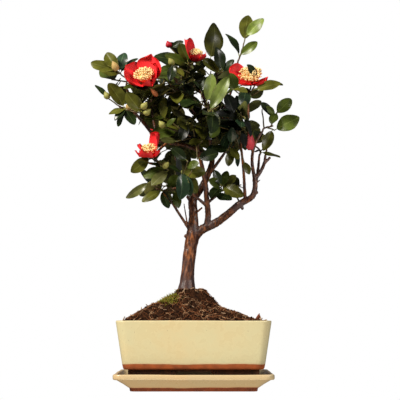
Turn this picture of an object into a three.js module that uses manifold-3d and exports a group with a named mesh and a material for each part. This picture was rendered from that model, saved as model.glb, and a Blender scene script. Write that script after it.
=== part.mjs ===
// A camellia bonsai in a glazed planter, which stands in its drip tray.
// Millimetres, +Z up, with the viewer on the -Y side and +X to the viewer's right.
// The origin is the middle of the tray's flat underside.
import * as THREE from "three";
import Module from "manifold-3d";

const wasm = await Module();
wasm.setup();

// Driving dimensions of the planter and its tray
const GAP = 0.3;
const CORNER_STEPS = 4;
const POT_TOP = { width: 253, depth: 190, corner: 16, z: 114 };
const POT_BAND = { width: 232, depth: 169, corner: 13, z: 44 };
const POT_ARRIS = { width: 229, depth: 166, corner: 12, z: 37 };
const POT_FOOT = { width: 214, depth: 152, corner: 10 };
const POT_WALL = 7;
const POT_FLOOR_Z = 38;
const RIM_BEVEL = 1.5;
const FOOT_WALL = 11;
const FOOT_ARCH = { long: 58, short: 44, splay: 8, height: 20 };
const TRAY_BASE = { width: 207, depth: 147, corner: 9, z: 0 };
const TRAY_FOOT = { width: 209, depth: 149, corner: 10, z: 5.5 };
const TRAY_WAIST = { width: 214, depth: 154, corner: 10, z: 6.5 };
const TRAY_SLOPE = { width: 228, depth: 168, corner: 11, z: 12 };
const TRAY_NECK = { width: 250, depth: 190, corner: 12, z: 19.5 };
const TRAY_RIM = { width: 260, depth: 200, corner: 14, z: 28 };
const TRAY_WALL = 6;
const TRAY_FLOOR_Z = 12;

// Driving dimensions of the soil: the mound's height at each step from the wall to the flat top
const SOIL_EDGE_Z = 111;
const GROUND_Z = 167;
const ROOT_BALL = { x: -3, y: 0, long: 24, short: 24 };
const MOUND_STEPS = [0, 0.25, 0.55, 0.75, 0.9, 1];
const MOUND_LEFT = [0, 0.26, 0.53, 0.66, 0.8, 1];
const MOUND_RIGHT = [0, 0.1, 0.3, 0.45, 0.76, 1];

// Driving dimensions of leaves, twigs, blooms and buds
const LEAF_LENGTH = 49;
const LEAF_WIDTH = 0.52;
const LEAF_FOLD = 0.07;
const LEAF_CURL = 0.09;
const LEAF_RIDGE = 0.8;
const LEAF_KEEL = 1.2;
const LEAF_SUNK = 0.4;
const LEAF_WIDEST = 0.46;
const KITE_SHARE = 1.2;
const STEM_RADIUS = 1.9;
const TWIG_RADIUS = 1.4;
const FLOWER_SIDES = 10;
const FLOWER_LOBES = 0.12;
// The flower's outline from its calyx over the petals' rim to the top of the stamens: radius, height
const FLOWER_OUTLINE = [[5, 0], [18, 4], [28, 15], [17, 7], [8, 4], [7, 14]];
const BUDS = {
  bud: { radius: 5, length: 14 },
  peach: { radius: 5.6, length: 18 },
  slim: { radius: 3.4, length: 18 },
  red: { radius: 5, length: 12 },
  pink: { radius: 7, length: 32 },
};
const UP = new THREE.Vector3(0, 0, 1);

// Driving values of growth. A lead springs from the stem at LEAD_ROOT and the next one lower by the
// step. Other shoots turn by the golden angle from the top of the mass down, and their leaves by two
// fifths of a turn, with the spread in degrees at the shoot's foot and tip.
const LIMB_STEP = 20;
const SAMPLE_STEP = 5;
const TWIG_SAMPLES = 8;
const CROWN_MIDDLE = new THREE.Vector3(10, 0, 430);
const STEM_KNEE = 0.4;
const LEAD_ROOT = { first: 0.85, step: 0.2 };
const LEAD_LEAVES = 0.5;
const SHOOT_HEIGHT = { top: 0.92, fall: 1.5 };
const SHOOT_ROOT = { low: 0.4, span: 0.55, step: 0.618 };
const SHOOT_REACH = { least: 0.416, chance: 0.156 };
const SHOOT_TURN = { step: THREE.MathUtils.degToRad(137.5), chance: 0.8 };
const SHOOT_LEAVES = 5;
const LEAF_PLACE = { low: 0.3, span: 0.69 };
const LEAF_SIZE = { least: 0.78, chance: 0.44 };
const LEAF_SPREAD = { foot: 80, tip: 26 };
const LEAF_TURN = THREE.MathUtils.degToRad(144);
const LEAF_DROOP = 0.25;
const LEAF_TRIES = 5;
const NEXT_TRY = 0.9;

// The room that a leaf needs round it: less for those that the photograph shows. Other leaves stay out
// of the way between the viewer and what is shown on the near side of the crown.
const LEAD_ROOM = { limb: 3, leaf: 0.8, twig: 0.8, mass: 5 };
const SHOOT_ROOM = { limb: 6, leaf: 7.5, twig: 4.5, mass: 7 };
const SHOWN_ROOM = 8;
const SHOWN_DEPTH = 30;

// The ways that leaves of a lead face: to the viewer, to the sky, to a side or to the far side
const FACINGS = {
  front: [0.1, -1, 0.35],
  up: [0, -0.75, 0.8],
  left: [-0.8, -0.6, 0.3],
  right: [0.8, -0.6, 0.3],
  far: [0, 0.6, 0.8],
};

// Limbs by their bends and the radius at each bend. "on" names the solid that a limb grows from, and
// its first "collar" millimetres belong to that solid.
const LIMBS = {
  trunk: {
    bends: [[-12.5, 0, GROUND_Z], [-11.5, 0, 182], [-10, 0, 200], [-6.5, 0, 233], [-1, 0, 262]],
    radii: [14.8, 11.6, 10.6, 10.3, 11.5],
    sides: 15,
  },
  leader: {
    on: "trunk",
    collar: 34,
    bends: [
      [-3, 0, 250], [-1, 2, 293], [-2, 4, 319], [10, 6, 336], [21, 6, 357], [31, 5, 386],
      [27, 3, 412], [32, 6, 455], [36, 6, 496],
    ],
    radii: [9.5, 7.8, 7.6, 6.2, 5.6, 4.8, 4, 3, 2.2],
  },
  leader_stub: { on: "leader", collar: 99, bends: [[-1, 4, 312], [-11, 0, 326]], radii: [5, 3.8] },
  bough_right: {
    on: "trunk",
    collar: 44,
    bends: [[-2, 0, 252], [12, -1, 267], [37, -3, 279], [59, -6, 295], [78, -9, 311], [95, -10, 320]],
    radii: [9, 8, 7.2, 6.6, 6.2, 5.2],
  },
  bough_right_rise: {
    on: "bough_right",
    collar: 4,
    bends: [[95, -10, 320], [101, -10, 327], [104, -11, 341], [103, -11, 356]],
    radii: [5.2, 5, 4.4, 3.8],
  },
  bough_right_inner: {
    on: "bough_right_rise",
    collar: 7,
    bends: [[103, -11, 354], [99, -14, 380], [100, -16, 399], [106, -14, 417], [116, -9, 434]],
    radii: [3.4, 2.8, 2.6, 2.4, 2],
  },
  bough_right_outer: {
    on: "bough_right_rise",
    collar: 10,
    bends: [[103, -11, 351], [113, -6, 366], [120, 0, 381], [123, 4, 398]],
    radii: [3.6, 3, 2.8, 2],
  },
  outer_stub: {
    on: "bough_right_outer",
    collar: 99,
    bends: [[119, 0, 380], [131, 6, 393]],
    radii: [2.6, 2.2],
  },
  bough_right_top: {
    on: "bough_right_inner",
    collar: 8,
    bends: [[100, -16, 399], [92, -22, 434], [93, -25, 482]],
    radii: [2.4, 2.2, 1.8],
  },
  bough_upright: {
    on: "bough_right",
    collar: 11,
    bends: [[87, -9, 316], [84, -22, 365], [79, -30, 412]],
    radii: [3, 2.5, 2],
  },
  bough_middle: {
    on: "trunk",
    collar: 16,
    bends: [[22, -2, 273], [24, -6, 292], [22, -10, 314], [20, -16, 339], [15, -24, 367], [8, -34, 396]],
    radii: [5.8, 5.2, 4.8, 4.4, 3.8, 3],
  },
  bough_low_middle: {
    on: "bough_middle",
    collar: 8,
    bends: [[22, -10, 308], [6, -20, 320], [-8, -30, 328]],
    radii: [2.4, 2.2, 1.9],
  },
  bough_low_right: {
    on: "bough_middle",
    collar: 9,
    bends: [[22, -10, 312], [36, 0, 324], [42, 4, 330]],
    radii: [2.6, 2.2, 1.9],
  },
  bough_left: {
    on: "leader",
    collar: 11,
    bends: [
      [30, 5, 394], [-15, -20, 410], [-57, -30, 417], [-86, -36, 447], [-106, -42, 472], [-111, -48, 494],
    ],
    radii: [3.8, 3.4, 3.1, 2.8, 2.5, 2],
  },
  bough_upper_left: {
    on: "bough_left",
    collar: 8,
    bends: [[-57, -30, 417], [-68, -16, 446], [-72, -6, 470]],
    radii: [2.6, 2.2, 1.9],
  },
  bough_left_mid: {
    on: "bough_left",
    collar: 7,
    bends: [[-98, -40, 462], [-104, -44, 462], [-111, -48, 463]],
    radii: [2.3, 2, 1.8],
  },
  bough_left_low: {
    on: "bough_left",
    collar: 8,
    bends: [[-44, -27, 414], [-56, -38, 402], [-64, -46, 391]],
    radii: [2.4, 2.2, 1.9],
  },
  bough_lower_left: {
    on: "trunk",
    collar: 16,
    bends: [[-4, 0, 262], [-16, -6, 280], [-39, -20, 315], [-48, -25, 326]],
    radii: [3, 2.5, 2.2, 1.9],
  },
  bough_front: {
    on: "leader",
    collar: 9,
    bends: [[28, 3, 408], [26, -36, 427], [24, -62, 446]],
    radii: [3, 2.5, 2],
  },
  bough_upper_middle: {
    on: "leader",
    collar: 8,
    bends: [[28, 4, 422], [8, -12, 455], [-10, -28, 479]],
    radii: [2.8, 2.4, 1.9],
  },
  bough_top: {
    on: "leader",
    collar: 8,
    bends: [[33, 6, 462], [16, 0, 496], [4, -7, 526]],
    radii: [2.4, 2.2, 1.8],
  },
  bough_top_right: {
    on: "leader",
    collar: 13,
    bends: [[31, 6, 446], [58, 10, 490], [73, 5, 548]],
    radii: [2.6, 2.3, 1.8],
  },
  bough_back_left: {
    on: "leader",
    collar: 14,
    bends: [[-2, 4, 308], [-18, 40, 360], [-30, 58, 392]],
    radii: [3.6, 2.8, 2],
  },
  bough_back_right: {
    on: "leader",
    collar: 12,
    bends: [[21, 6, 357], [46, 46, 396], [60, 62, 418]],
    radii: [3.4, 2.6, 2],
  },
  bough_back_top: {
    on: "leader",
    collar: 13,
    bends: [[29, 4, 430], [24, 34, 474], [18, 50, 498]],
    radii: [2.8, 2.3, 1.9],
  },
  bough_back_low: {
    on: "bough_back_left",
    collar: 7,
    bends: [[-13, 30, 344], [-24, 48, 344], [-34, 60, 346]],
    radii: [2.4, 2.1, 1.9],
  },
  bough_back_side: {
    on: "bough_right_rise",
    collar: 9,
    bends: [[104, -11, 340], [111, 20, 376], [114, 40, 400]],
    radii: [3, 2.5, 2],
  },
};

// Masses of foliage by the bough that carries each and the ellipsoid that it keeps to. A lead is a
// shoot that the photograph shows: its tip, what ends it and the tips that its leaves aim at, from
// its tip down, with the way each leaf faces and, if it isn't usual, its width over its length.
const MASSES = [
  {
    name: "left_high", carrier: "bough_left", seed: 101, shoots: 2,
    middle: [-112, -55, 522], radii: [66, 64, 58],
    leads: [
      {
        tip: [-129, -63, 530], end: "peach",
        aims: [
          [-173, -60, 543, "up"], [-149, -56, 562, "front"], [-119, -46, 562, "front"],
          [-99, -44, 557, "up", 0.4], [-158, -72, 534, "front", 0.45],
        ],
      },
      {
        tip: [-86, -60, 519], end: "flower", axis: [-0.12, -0.75, 0.6], size: 1.12, open: 0.92,
        aims: [],
      },
      { tip: [-93, -64, 503], end: "none", aims: [[-116, -76, 500, "up"], [-75, -74, 494, "up"]] },
    ],
  },
  {
    name: "left_mid", carrier: "bough_left_mid", seed: 223, shoots: 3,
    middle: [-126, -52, 472], radii: [60, 58, 54],
    leads: [
      {
        tip: [-112, -54, 467], end: "peach",
        aims: [
          [-143, -58, 462, "up"], [-133, -62, 448, "up"], [-131, -46, 439, "up", 0.4],
          [-141, -64, 509, "front"],
        ],
      },
      { tip: [-82, -62, 456], end: "bud", aims: [[-112, -76, 489, "front"]] },
      { tip: [-86, -66, 465], end: "bud", aims: [] },
      { tip: [-144, -50, 485], end: "bud", aims: [[-168, -44, 508, "up", 0.35]] },
    ],
  },
  {
    name: "upper_left", carrier: "bough_upper_left", seed: 163, shoots: 7,
    middle: [-72, 8, 500], radii: [66, 70, 66],
    leads: [],
  },
  {
    name: "left_low", carrier: "bough_left_low", seed: 307, shoots: 2,
    middle: [-76, -58, 380], radii: [52, 56, 54],
    leads: [
      {
        tip: [-76, -58, 382], end: "flower", axis: [-0.15, -0.4, 0.9], size: 0.85, open: 0.75,
        aims: [[-103, -66, 358, "left"]],
      },
      {
        tip: [-42, -56, 362], end: "none",
        aims: [[-70, -68, 338, "front"], [-84, -60, 347, "front"], [-93, -66, 377, "up"]],
      },
      { tip: [-50, -66, 367], end: "bud", aims: [] },
    ],
  },
  {
    name: "lower_left", carrier: "bough_lower_left", seed: 401, shoots: 1,
    middle: [-64, -36, 334], radii: [62, 58, 46],
    leads: [
      { tip: [-75, -38, 342], end: "none", aims: [[-112, -44, 314, "front", 0.42]] },
      {
        tip: [-53, -36, 331], end: "none",
        aims: [
          [-88, -44, 310, "front", 0.45], [-43, -44, 302, "front"], [-38, -46, 312, "right", 0.4],
          [-73, -26, 314, "up"],
        ],
      },
      { tip: [-32, -30, 332], end: "none", aims: [[-25, -34, 302, "front"]] },
    ],
  },
  {
    name: "low_middle", carrier: "bough_low_middle", seed: 503, shoots: 5,
    middle: [-22, -60, 354], radii: [56, 56, 58],
    leads: [
      {
        tip: [-20, -66, 360], end: "none",
        aims: [
          [-18, -76, 313, "front"], [-6, -64, 318, "front"], [-38, -76, 369, "up"],
          [5, -54, 325, "front"],
        ],
      },
      { tip: [-10, -68, 377], end: "none", aims: [[-36, -76, 397, "front"]] },
    ],
  },
  {
    name: "middle", carrier: "bough_middle", seed: 601, shoots: 8,
    middle: [-20, -60, 428], radii: [72, 62, 72],
    leads: [
      { tip: [-50, -62, 434], end: "bud", aims: [[-31, -76, 447, "front", 0.4]] },
      { tip: [-29, -60, 410], end: "none", aims: [[-56, -66, 401, "front", 0.45]] },
      { tip: [6, -62, 380], end: "none", aims: [[40, -70, 389, "front"]] },
      { tip: [14, -62, 411], end: "none", aims: [[-8, -72, 406, "front"]] },
    ],
  },
  {
    name: "upper_middle", carrier: "bough_upper_middle", seed: 709, shoots: 9,
    middle: [-30, -48, 503], radii: [70, 64, 62],
    leads: [
      { tip: [-61, -70, 486], end: "slim", aims: [] },
    ],
  },
  {
    name: "top", carrier: "bough_top", seed: 809, shoots: 5,
    middle: [-14, -14, 556], radii: [64, 64, 56],
    leads: [
      { tip: [7, -26, 552], end: "flower", axis: [0.3, -0.25, 0.92], size: 0.9, open: 0.75, aims: [] },
      { tip: [-42, -14, 582], end: "red", aims: [[-20, -22, 591, "front"]] },
      { tip: [-10, -20, 554], end: "none", aims: [[-24, -30, 585, "front"], [-52, -34, 563, "up"]] },
    ],
  },
  {
    name: "crest", carrier: "leader", seed: 907, shoots: 0,
    middle: [40, -8, 560], radii: [42, 46, 74],
    leads: [
      { tip: [27, 8, 564], end: "none", aims: [[41, 0, 628, "front", 0.58]] },
      { tip: [49, -24, 537], end: "none", aims: [[42, -34, 578, "front"]] },
    ],
  },
  {
    name: "top_right", carrier: "bough_top_right", seed: 1009, shoots: 0,
    middle: [84, 0, 580], radii: [58, 48, 68],
    leads: [
      { tip: [89, 0, 604], end: "none", aims: [[122, -8, 633, "front", 0.6], [86, 10, 643, "front"]] },
      {
        tip: [79, 0, 570], end: "none",
        aims: [[109, -10, 590, "front", 0.45], [57, 4, 610, "right", 0.4]],
      },
    ],
  },
  {
    name: "right_high", carrier: "bough_right_top", seed: 1103, shoots: 1,
    middle: [97, -24, 510], radii: [64, 66, 56],
    leads: [
      { tip: [98, -36, 517], end: "flower", axis: [0.1, -0.5, 0.86], size: 1.08, open: 1.1, aims: [] },
      { tip: [101, -54, 499], end: "none", aims: [[146, -68, 511, "front", 0.42]] },
      { tip: [110, -44, 524], end: "none", aims: [[91, -60, 541, "front"]] },
      { tip: [64, -56, 500], end: "none", aims: [[88, -74, 493, "up"]] },
    ],
  },
  {
    name: "right_mid", carrier: "bough_upright", seed: 1201, shoots: 7,
    middle: [62, -46, 438], radii: [66, 64, 92],
    leads: [
      { tip: [85, -34, 378], end: "none", aims: [[93, -40, 358, "front"]] },
      {
        tip: [57, -50, 397], end: "none",
        aims: [[31, -60, 401, "front", 0.6], [75, -58, 382, "front"], [64, -66, 430, "front"]],
      },
      { tip: [62, -46, 396], end: "none", aims: [[57, -54, 370, "front"]] },
      { tip: [97, -50, 396], end: "pink", aims: [] },
    ],
  },
  {
    name: "right", carrier: "bough_right_inner", seed: 1301, shoots: 0,
    middle: [136, -6, 446], radii: [52, 50, 60],
    leads: [
      {
        tip: [142, -8, 469], end: "none",
        aims: [[167, -8, 493, "front", 0.6], [125, -10, 480, "front"], [116, -2, 488, "up"]],
      },
      {
        tip: [138, -8, 438], end: "none",
        aims: [[180, -16, 460, "front", 0.68], [124, -12, 405, "front"]],
      },
      { tip: [117, -4, 475], end: "none", aims: [] },
    ],
  },
  {
    name: "right_low", carrier: "bough_right_outer", seed: 1409, shoots: 0,
    middle: [124, 2, 418], radii: [44, 46, 46],
    leads: [
      { tip: [112, -15, 399], end: "none", aims: [[146, -30, 391, "up", 0.38], [99, -2, 403, "up"]] },
      { tip: [122, 20, 424], end: "bud", aims: [[106, 30, 446, "front"]] },
    ],
  },
  {
    name: "low_right", carrier: "bough_low_right", seed: 1511, shoots: 1,
    middle: [58, 8, 342], radii: [48, 50, 48],
    leads: [
      { tip: [46, 0, 344], end: "none", aims: [[81, -26, 324, "front", 0.48], [72, 0, 361, "front"]] },
      { tip: [34, -12, 326], end: "none", aims: [[64, -26, 319, "front"]] },
      { tip: [46, -10, 342], end: "none", aims: [[35, -18, 368, "front"], [57, 0, 369, "front"]] },
    ],
  },
  {
    name: "front", carrier: "bough_front", seed: 1601, shoots: 3,
    middle: [24, -88, 472], radii: [56, 52, 64],
    leads: [
      { tip: [21, -90, 470], end: "none", aims: [[31, -98, 517, "front", 0.46]] },
      { tip: [25, -92, 454], end: "none", aims: [[57, -98, 512, "front", 0.36]] },
      { tip: [54, -66, 494], end: "none", aims: [[67, -74, 458, "front", 0.6]] },
    ],
  },
  {
    name: "back_left", carrier: "bough_back_left", seed: 1721, shoots: 7,
    middle: [-36, 68, 428], radii: [68, 64, 72],
    leads: [
      {
        tip: [-48, 96, 446], end: "flower", axis: [-0.3, 0.75, 0.6], size: 1.1, open: 1,
        aims: [[-76, 92, 424, "far"]],
      },
    ],
  },
  {
    name: "back_right", carrier: "bough_back_right", seed: 1801, shoots: 6,
    middle: [72, 70, 458], radii: [70, 64, 68],
    leads: [
      {
        tip: [84, 98, 470], end: "flower", axis: [0.3, 0.7, 0.64], size: 1, open: 0.9,
        aims: [[112, 92, 452, "far"]],
      },
    ],
  },
  {
    name: "back_top", carrier: "bough_back_top", seed: 1901, shoots: 7,
    middle: [8, 58, 528], radii: [72, 64, 66],
    leads: [
      {
        tip: [-6, 82, 548], end: "flower", axis: [-0.1, 0.6, 0.8], size: 1, open: 0.8,
        aims: [[24, 88, 536, "far"]],
      },
    ],
  },
  {
    name: "back_low", carrier: "bough_back_low", seed: 2003, shoots: 5,
    middle: [-48, 68, 360], radii: [58, 58, 54],
    leads: [],
  },
  {
    name: "back_side", carrier: "bough_back_side", seed: 2111, shoots: 4,
    middle: [98, 60, 430], radii: [44, 54, 52],
    leads: [],
  },
];

// Colours with roughness, as the photograph shows them
const FINISH = {
  glaze: { color: 0xe6d9ac, roughness: 0.25 },
  soil: { color: 0x4a3120, roughness: 0.95 },
  bark: { color: 0x7a4c34, roughness: 0.8 },
  leaf: { color: 0x3c5426, roughness: 0.4 },
};

const vector = (list) => new THREE.Vector3(...list);

// A seeded stream of numbers between 0 and 1, the same on every run
function seededStream(seed) {
  let state = seed;
  return () => {
    state = (state * 48271) % 2147483647;
    return state / 2147483647;
  };
}

// A closed solid from points and triangles, turned to face outwards
function closedSolid(points, triangles) {
  let volume = 0;
  for (const [a, b, c] of triangles) {
    volume += points[a].dot(points[b].clone().cross(points[c]));
  }
  const facing = volume > 0 ? triangles : triangles.map(([a, b, c]) => [a, c, b]);
  return new wasm.Manifold(new wasm.Mesh({
    numProp: 3,
    vertProperties: new Float32Array(points.flatMap((point) => point.toArray())),
    triVerts: new Uint32Array(facing.flat()),
  }));
}

// A solid through a row of rings with the same number of points. A ring of one point is a tip.
function loft(rings) {
  const points = [];
  const starts = [];
  for (const ring of rings) {
    starts.push(points.length);
    points.push(...ring);
  }
  const triangles = [];
  for (let row = 0; row + 1 < rings.length; row += 1) {
    triangles.push(...band(rings[row].length, rings[row + 1].length, starts[row], starts[row + 1]));
  }
  const last = rings.length - 1;
  for (let corner = 1; corner + 1 < rings[0].length; corner += 1) {
    triangles.push([starts[0], starts[0] + corner + 1, starts[0] + corner]);
  }
  for (let corner = 1; corner + 1 < rings[last].length; corner += 1) {
    triangles.push([starts[last], starts[last] + corner, starts[last] + corner + 1]);
  }
  return closedSolid(points, triangles);
}

// The triangles between two neighbouring rings, with every second quad cut the other way so that the
// upper and under sides of a blade are cut alike
function band(lowCount, highCount, low, high) {
  const triangles = [];
  const count = Math.max(lowCount, highCount);
  for (let corner = 0; corner < count; corner += 1) {
    const next = (corner + 1) % count;
    if (highCount === 1) {
      triangles.push([low + corner, low + next, high]);
    } else if (lowCount === 1) {
      triangles.push([low, high + next, high + corner]);
    } else if (corner % 2) {
      triangles.push([low + corner, low + next, high + corner], [low + next, high + next, high + corner]);
    } else {
      triangles.push([low + corner, low + next, high + next], [low + corner, high + next, high + corner]);
    }
  }
  return triangles;
}

function joined(solids) {
  return solids.reduce((whole, solid) => whole.add(solid));
}

// A level ring in the shape of a rectangle with round corners
function roundedRing({ width, depth, corner, z }) {
  const ring = [];
  for (let side = 0; side < 4; side += 1) {
    const signX = side === 0 || side === 3 ? 1 : -1;
    const signY = side < 2 ? 1 : -1;
    for (let step = 0; step <= CORNER_STEPS; step += 1) {
      const angle = (side + step / CORNER_STEPS) * Math.PI / 2;
      const x = signX * (width / 2 - corner) + corner * Math.cos(angle);
      const y = signY * (depth / 2 - corner) + corner * Math.sin(angle);
      ring.push(new THREE.Vector3(x, y, z));
    }
  }
  return ring;
}

// The same rectangle moved in by an inset and set at a height
function inset(size, by, z) {
  const corner = Math.max(size.corner - by, 3);
  return { width: size.width - 2 * by, depth: size.depth - 2 * by, corner, z };
}

// The planter's outer size at a height on its sloping wall
function potSizeAt(z) {
  const share = (z - POT_BAND.z) / (POT_TOP.z - POT_BAND.z);
  const size = { z };
  for (const key of ["width", "depth", "corner"]) {
    size[key] = THREE.MathUtils.lerp(POT_BAND[key], POT_TOP[key], share);
  }
  return size;
}

// A bar with splayed sides that cuts the arches between the planter's feet
function archCut(half, reach, alongY) {
  const z = [TRAY_FLOOR_Z - 1, TRAY_FLOOR_Z + GAP + FOOT_ARCH.height];
  const wide = half + FOOT_ARCH.splay;
  const profile = [[-wide, z[0]], [wide, z[0]], [half, z[1]], [-half, z[1]]];
  const place = (across, along, height) => (
    alongY ? new THREE.Vector3(across, along, height) : new THREE.Vector3(along, across, height)
  );
  const endAt = (along) => profile.map(([across, height]) => place(across, along, height));
  return loft([endAt(-reach), endAt(reach)]);
}

function makePot() {
  const footZ = TRAY_FLOOR_Z + GAP;
  const body = loft([
    roundedRing(inset(POT_ARRIS, RIM_BEVEL, POT_ARRIS.z - RIM_BEVEL)),
    roundedRing(POT_ARRIS),
    roundedRing(POT_BAND),
    roundedRing(potSizeAt(POT_TOP.z - RIM_BEVEL)),
    roundedRing(inset(POT_TOP, RIM_BEVEL, POT_TOP.z)),
  ]);
  const foot = loft([
    roundedRing(inset(POT_FOOT, 1, footZ)),
    roundedRing({ ...POT_FOOT, z: POT_ARRIS.z }),
  ]);
  const cavity = loft([
    roundedRing(inset(potSizeAt(POT_FLOOR_Z), POT_WALL, POT_FLOOR_Z)),
    roundedRing(inset(potSizeAt(POT_TOP.z + 1), POT_WALL, POT_TOP.z + 1)),
  ]);
  const under = loft([
    roundedRing(inset(POT_FOOT, FOOT_WALL, footZ - 1)),
    roundedRing(inset(POT_FOOT, FOOT_WALL, POT_FLOOR_Z - 8)),
  ]);
  const arches = archCut(FOOT_ARCH.long / 2, POT_TOP.depth, true).add(
    archCut(FOOT_ARCH.short / 2, POT_TOP.width, false),
  );
  return body.add(foot).subtract(cavity).subtract(under).subtract(arches);
}

function makeTray() {
  const shell = loft([
    roundedRing(TRAY_BASE),
    roundedRing(TRAY_FOOT),
    roundedRing(TRAY_WAIST),
    roundedRing(TRAY_SLOPE),
    roundedRing(TRAY_NECK),
    roundedRing(inset(TRAY_RIM, RIM_BEVEL, TRAY_NECK.z + 1)),
    roundedRing(inset(TRAY_RIM, 0, TRAY_RIM.z - 2)),
    roundedRing(inset(TRAY_RIM, RIM_BEVEL, TRAY_RIM.z)),
  ]);
  const hollow = loft([
    roundedRing(inset(POT_FOOT, -5, TRAY_FLOOR_Z)),
    roundedRing(inset(TRAY_RIM, TRAY_WALL, TRAY_RIM.z)),
    roundedRing(inset(TRAY_RIM, TRAY_WALL - 1, TRAY_RIM.z + 1)),
  ]);
  return shell.subtract(hollow);
}

// The soil fills the planter and rises to the flat top of the root ball that the trunk stands on
function makeSoil() {
  const clear = POT_WALL + GAP;
  const rings = [
    roundedRing(inset(potSizeAt(POT_FLOOR_Z), clear, POT_FLOOR_Z + GAP)),
    roundedRing(inset(potSizeAt(SOIL_EDGE_Z), clear, SOIL_EDGE_Z)),
  ];
  const wall = rings[1];
  for (let step = 1; step < MOUND_STEPS.length; step += 1) {
    rings.push(wall.map((edge) => moundPoint(edge, step)));
  }
  return loft(rings);
}

// A point of the mound, gentle on the left and steep near the root ball on the right
function moundPoint(edge, step) {
  const angle = Math.atan2(edge.y / POT_TOP.depth, edge.x / POT_TOP.width);
  const rightness = (1 + Math.cos(angle)) / 2;
  const rise = THREE.MathUtils.lerp(MOUND_LEFT[step], MOUND_RIGHT[step], rightness);
  const top = new THREE.Vector3(
    ROOT_BALL.x + ROOT_BALL.long * Math.cos(angle),
    ROOT_BALL.y + ROOT_BALL.short * Math.sin(angle),
    0,
  );
  const point = edge.clone().lerp(top, MOUND_STEPS[step]);
  point.z = SOIL_EDGE_Z + (GROUND_Z - GAP - SOIL_EDGE_Z) * rise;
  return point;
}

// Rings square to a path, with the side direction carried along so that they don't twist
function tubeRings(path, sides) {
  const rings = [];
  let side = new THREE.Vector3(1, 0, 0);
  if (Math.abs(path[0].tangent.x) > 0.8) {
    side = new THREE.Vector3(0, 1, 0);
  }
  for (const { point, tangent, radius, lobes = 0 } of path) {
    side = side.clone().addScaledVector(tangent, -side.dot(tangent)).normalize();
    const other = tangent.clone().cross(side);
    const ring = [];
    for (let corner = 0; corner < sides; corner += 1) {
      const angle = corner / sides * 2 * Math.PI;
      const reach = radius * (1 + lobes * Math.cos(5 * angle + 0.7));
      const spoke = side.clone().multiplyScalar(Math.cos(angle)).addScaledVector(other, Math.sin(angle));
      ring.push(point.clone().addScaledVector(spoke, reach));
    }
    rings.push(ring);
  }
  return rings;
}

function bentCurve(bends) {
  return new THREE.CatmullRomCurve3(bends, false, "catmullrom", 0.5);
}

// A value listed at each bend, read between two of them
function valueAt(list, share) {
  const place = share * (list.length - 1);
  const index = Math.min(Math.floor(place), list.length - 2);
  return THREE.MathUtils.lerp(list[index], list[index + 1], place - index);
}

// A limb's points from one length to another along it, with tangent and radius at each
function limbPath(limb, from, to) {
  const curve = bentCurve(limb.bends.map(vector));
  const length = curve.getLength();
  const end = Math.min(to, length);
  const count = Math.max(2, Math.round((end - from) / LIMB_STEP) + 1);
  const path = [];
  for (let index = 0; index < count; index += 1) {
    const travelled = from + (end - from) * index / (count - 1);
    const share = Math.min(curve.getUtoTmapping(Math.min(travelled / length, 1)), 1);
    path.push({
      point: curve.getPoint(share),
      tangent: curve.getTangent(share),
      radius: valueAt(limb.radii, share),
    });
  }
  return path;
}

function limbSolid(limb, from, to) {
  const sides = limb.sides ?? (limb.radii[0] > 4 ? 7 : 5);
  return loft(tubeRings(limbPath(limb, from, to), sides));
}

// The trunk is cut level at the ground, where its flare has five lobes
function makeTrunk(limb) {
  const path = limbPath(limb, 0, Infinity);
  path[0].tangent.copy(UP);
  path[0].lobes = 0.13;
  path[1].lobes = 0.05;
  return loft(tubeRings(path, limb.sides));
}

function makeLimbs() {
  const solids = new Map();
  for (const [name, limb] of Object.entries(LIMBS)) {
    if (!limb.on) {
      solids.set(name, makeTrunk(limb));
      continue;
    }
    solids.set(limb.on, solids.get(limb.on).add(limbSolid(limb, 0, limb.collar)));
    if (bentCurve(limb.bends.map(vector)).getLength() > limb.collar) {
      solids.set(name, limbSolid(limb, limb.collar + GAP, Infinity));
    }
  }
  return solids;
}

// Points along every limb with its radius there, for keeping leaves and twigs clear
function limbSamples() {
  const samples = [];
  for (const limb of Object.values(LIMBS)) {
    const curve = bentCurve(limb.bends.map(vector));
    const count = Math.ceil(curve.getLength() / SAMPLE_STEP);
    for (let index = 0; index <= count; index += 1) {
      const share = index / count;
      samples.push({ point: curve.getPoint(share), radius: valueAt(limb.radii, share) });
    }
  }
  return samples;
}

// A leaf's place: its root on the twig, the way it points, the way it faces, its length and width
function leafFrame(root, tip, face, width = LEAF_WIDTH) {
  const along = tip.clone().sub(root);
  const length = along.length();
  along.normalize();
  const up = face.clone().addScaledVector(along, -face.dot(along)).normalize();
  return { root, along, up, side: along.clone().cross(up), length, width };
}

// A point of the blade, "share" of the way to the tip and "across" of the half width to one side
function bladePoint(leaf, share, across, lift) {
  const half = leaf.width / 2 * leaf.length * Math.sin(Math.PI * share ** 0.85);
  const rise = (Math.abs(across) * LEAF_FOLD - LEAF_CURL * share * share) * leaf.length;
  return leaf.root.clone()
    .addScaledVector(leaf.along, share * leaf.length)
    .addScaledVector(leaf.side, across * half)
    .addScaledVector(leaf.up, rise + lift);
}

// The points that stand for a leaf where it is kept clear of other things
function leafSamples(leaf) {
  const samples = [];
  for (const share of [0.3, 0.5, 0.7, 0.9, 1]) {
    for (const across of [-0.9, 0, 0.9]) {
      samples.push(bladePoint(leaf, share, across, 0));
    }
  }
  return samples;
}

// A leaf in the solid is a folded kite of eight faces, from its root inside the twig to its tip
function leafSolid(leaf) {
  const widest = [
    bladePoint(leaf, LEAF_WIDEST, -KITE_SHARE, 0),
    bladePoint(leaf, LEAF_WIDEST, 0, LEAF_RIDGE),
    bladePoint(leaf, LEAF_WIDEST, KITE_SHARE, 0),
    bladePoint(leaf, LEAF_WIDEST, 0, -LEAF_KEEL),
  ];
  const root = leaf.root.clone().addScaledVector(leaf.along, -LEAF_SUNK);
  return loft([[root], widest, [bladePoint(leaf, 1, 0, 0)]]);
}

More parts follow.
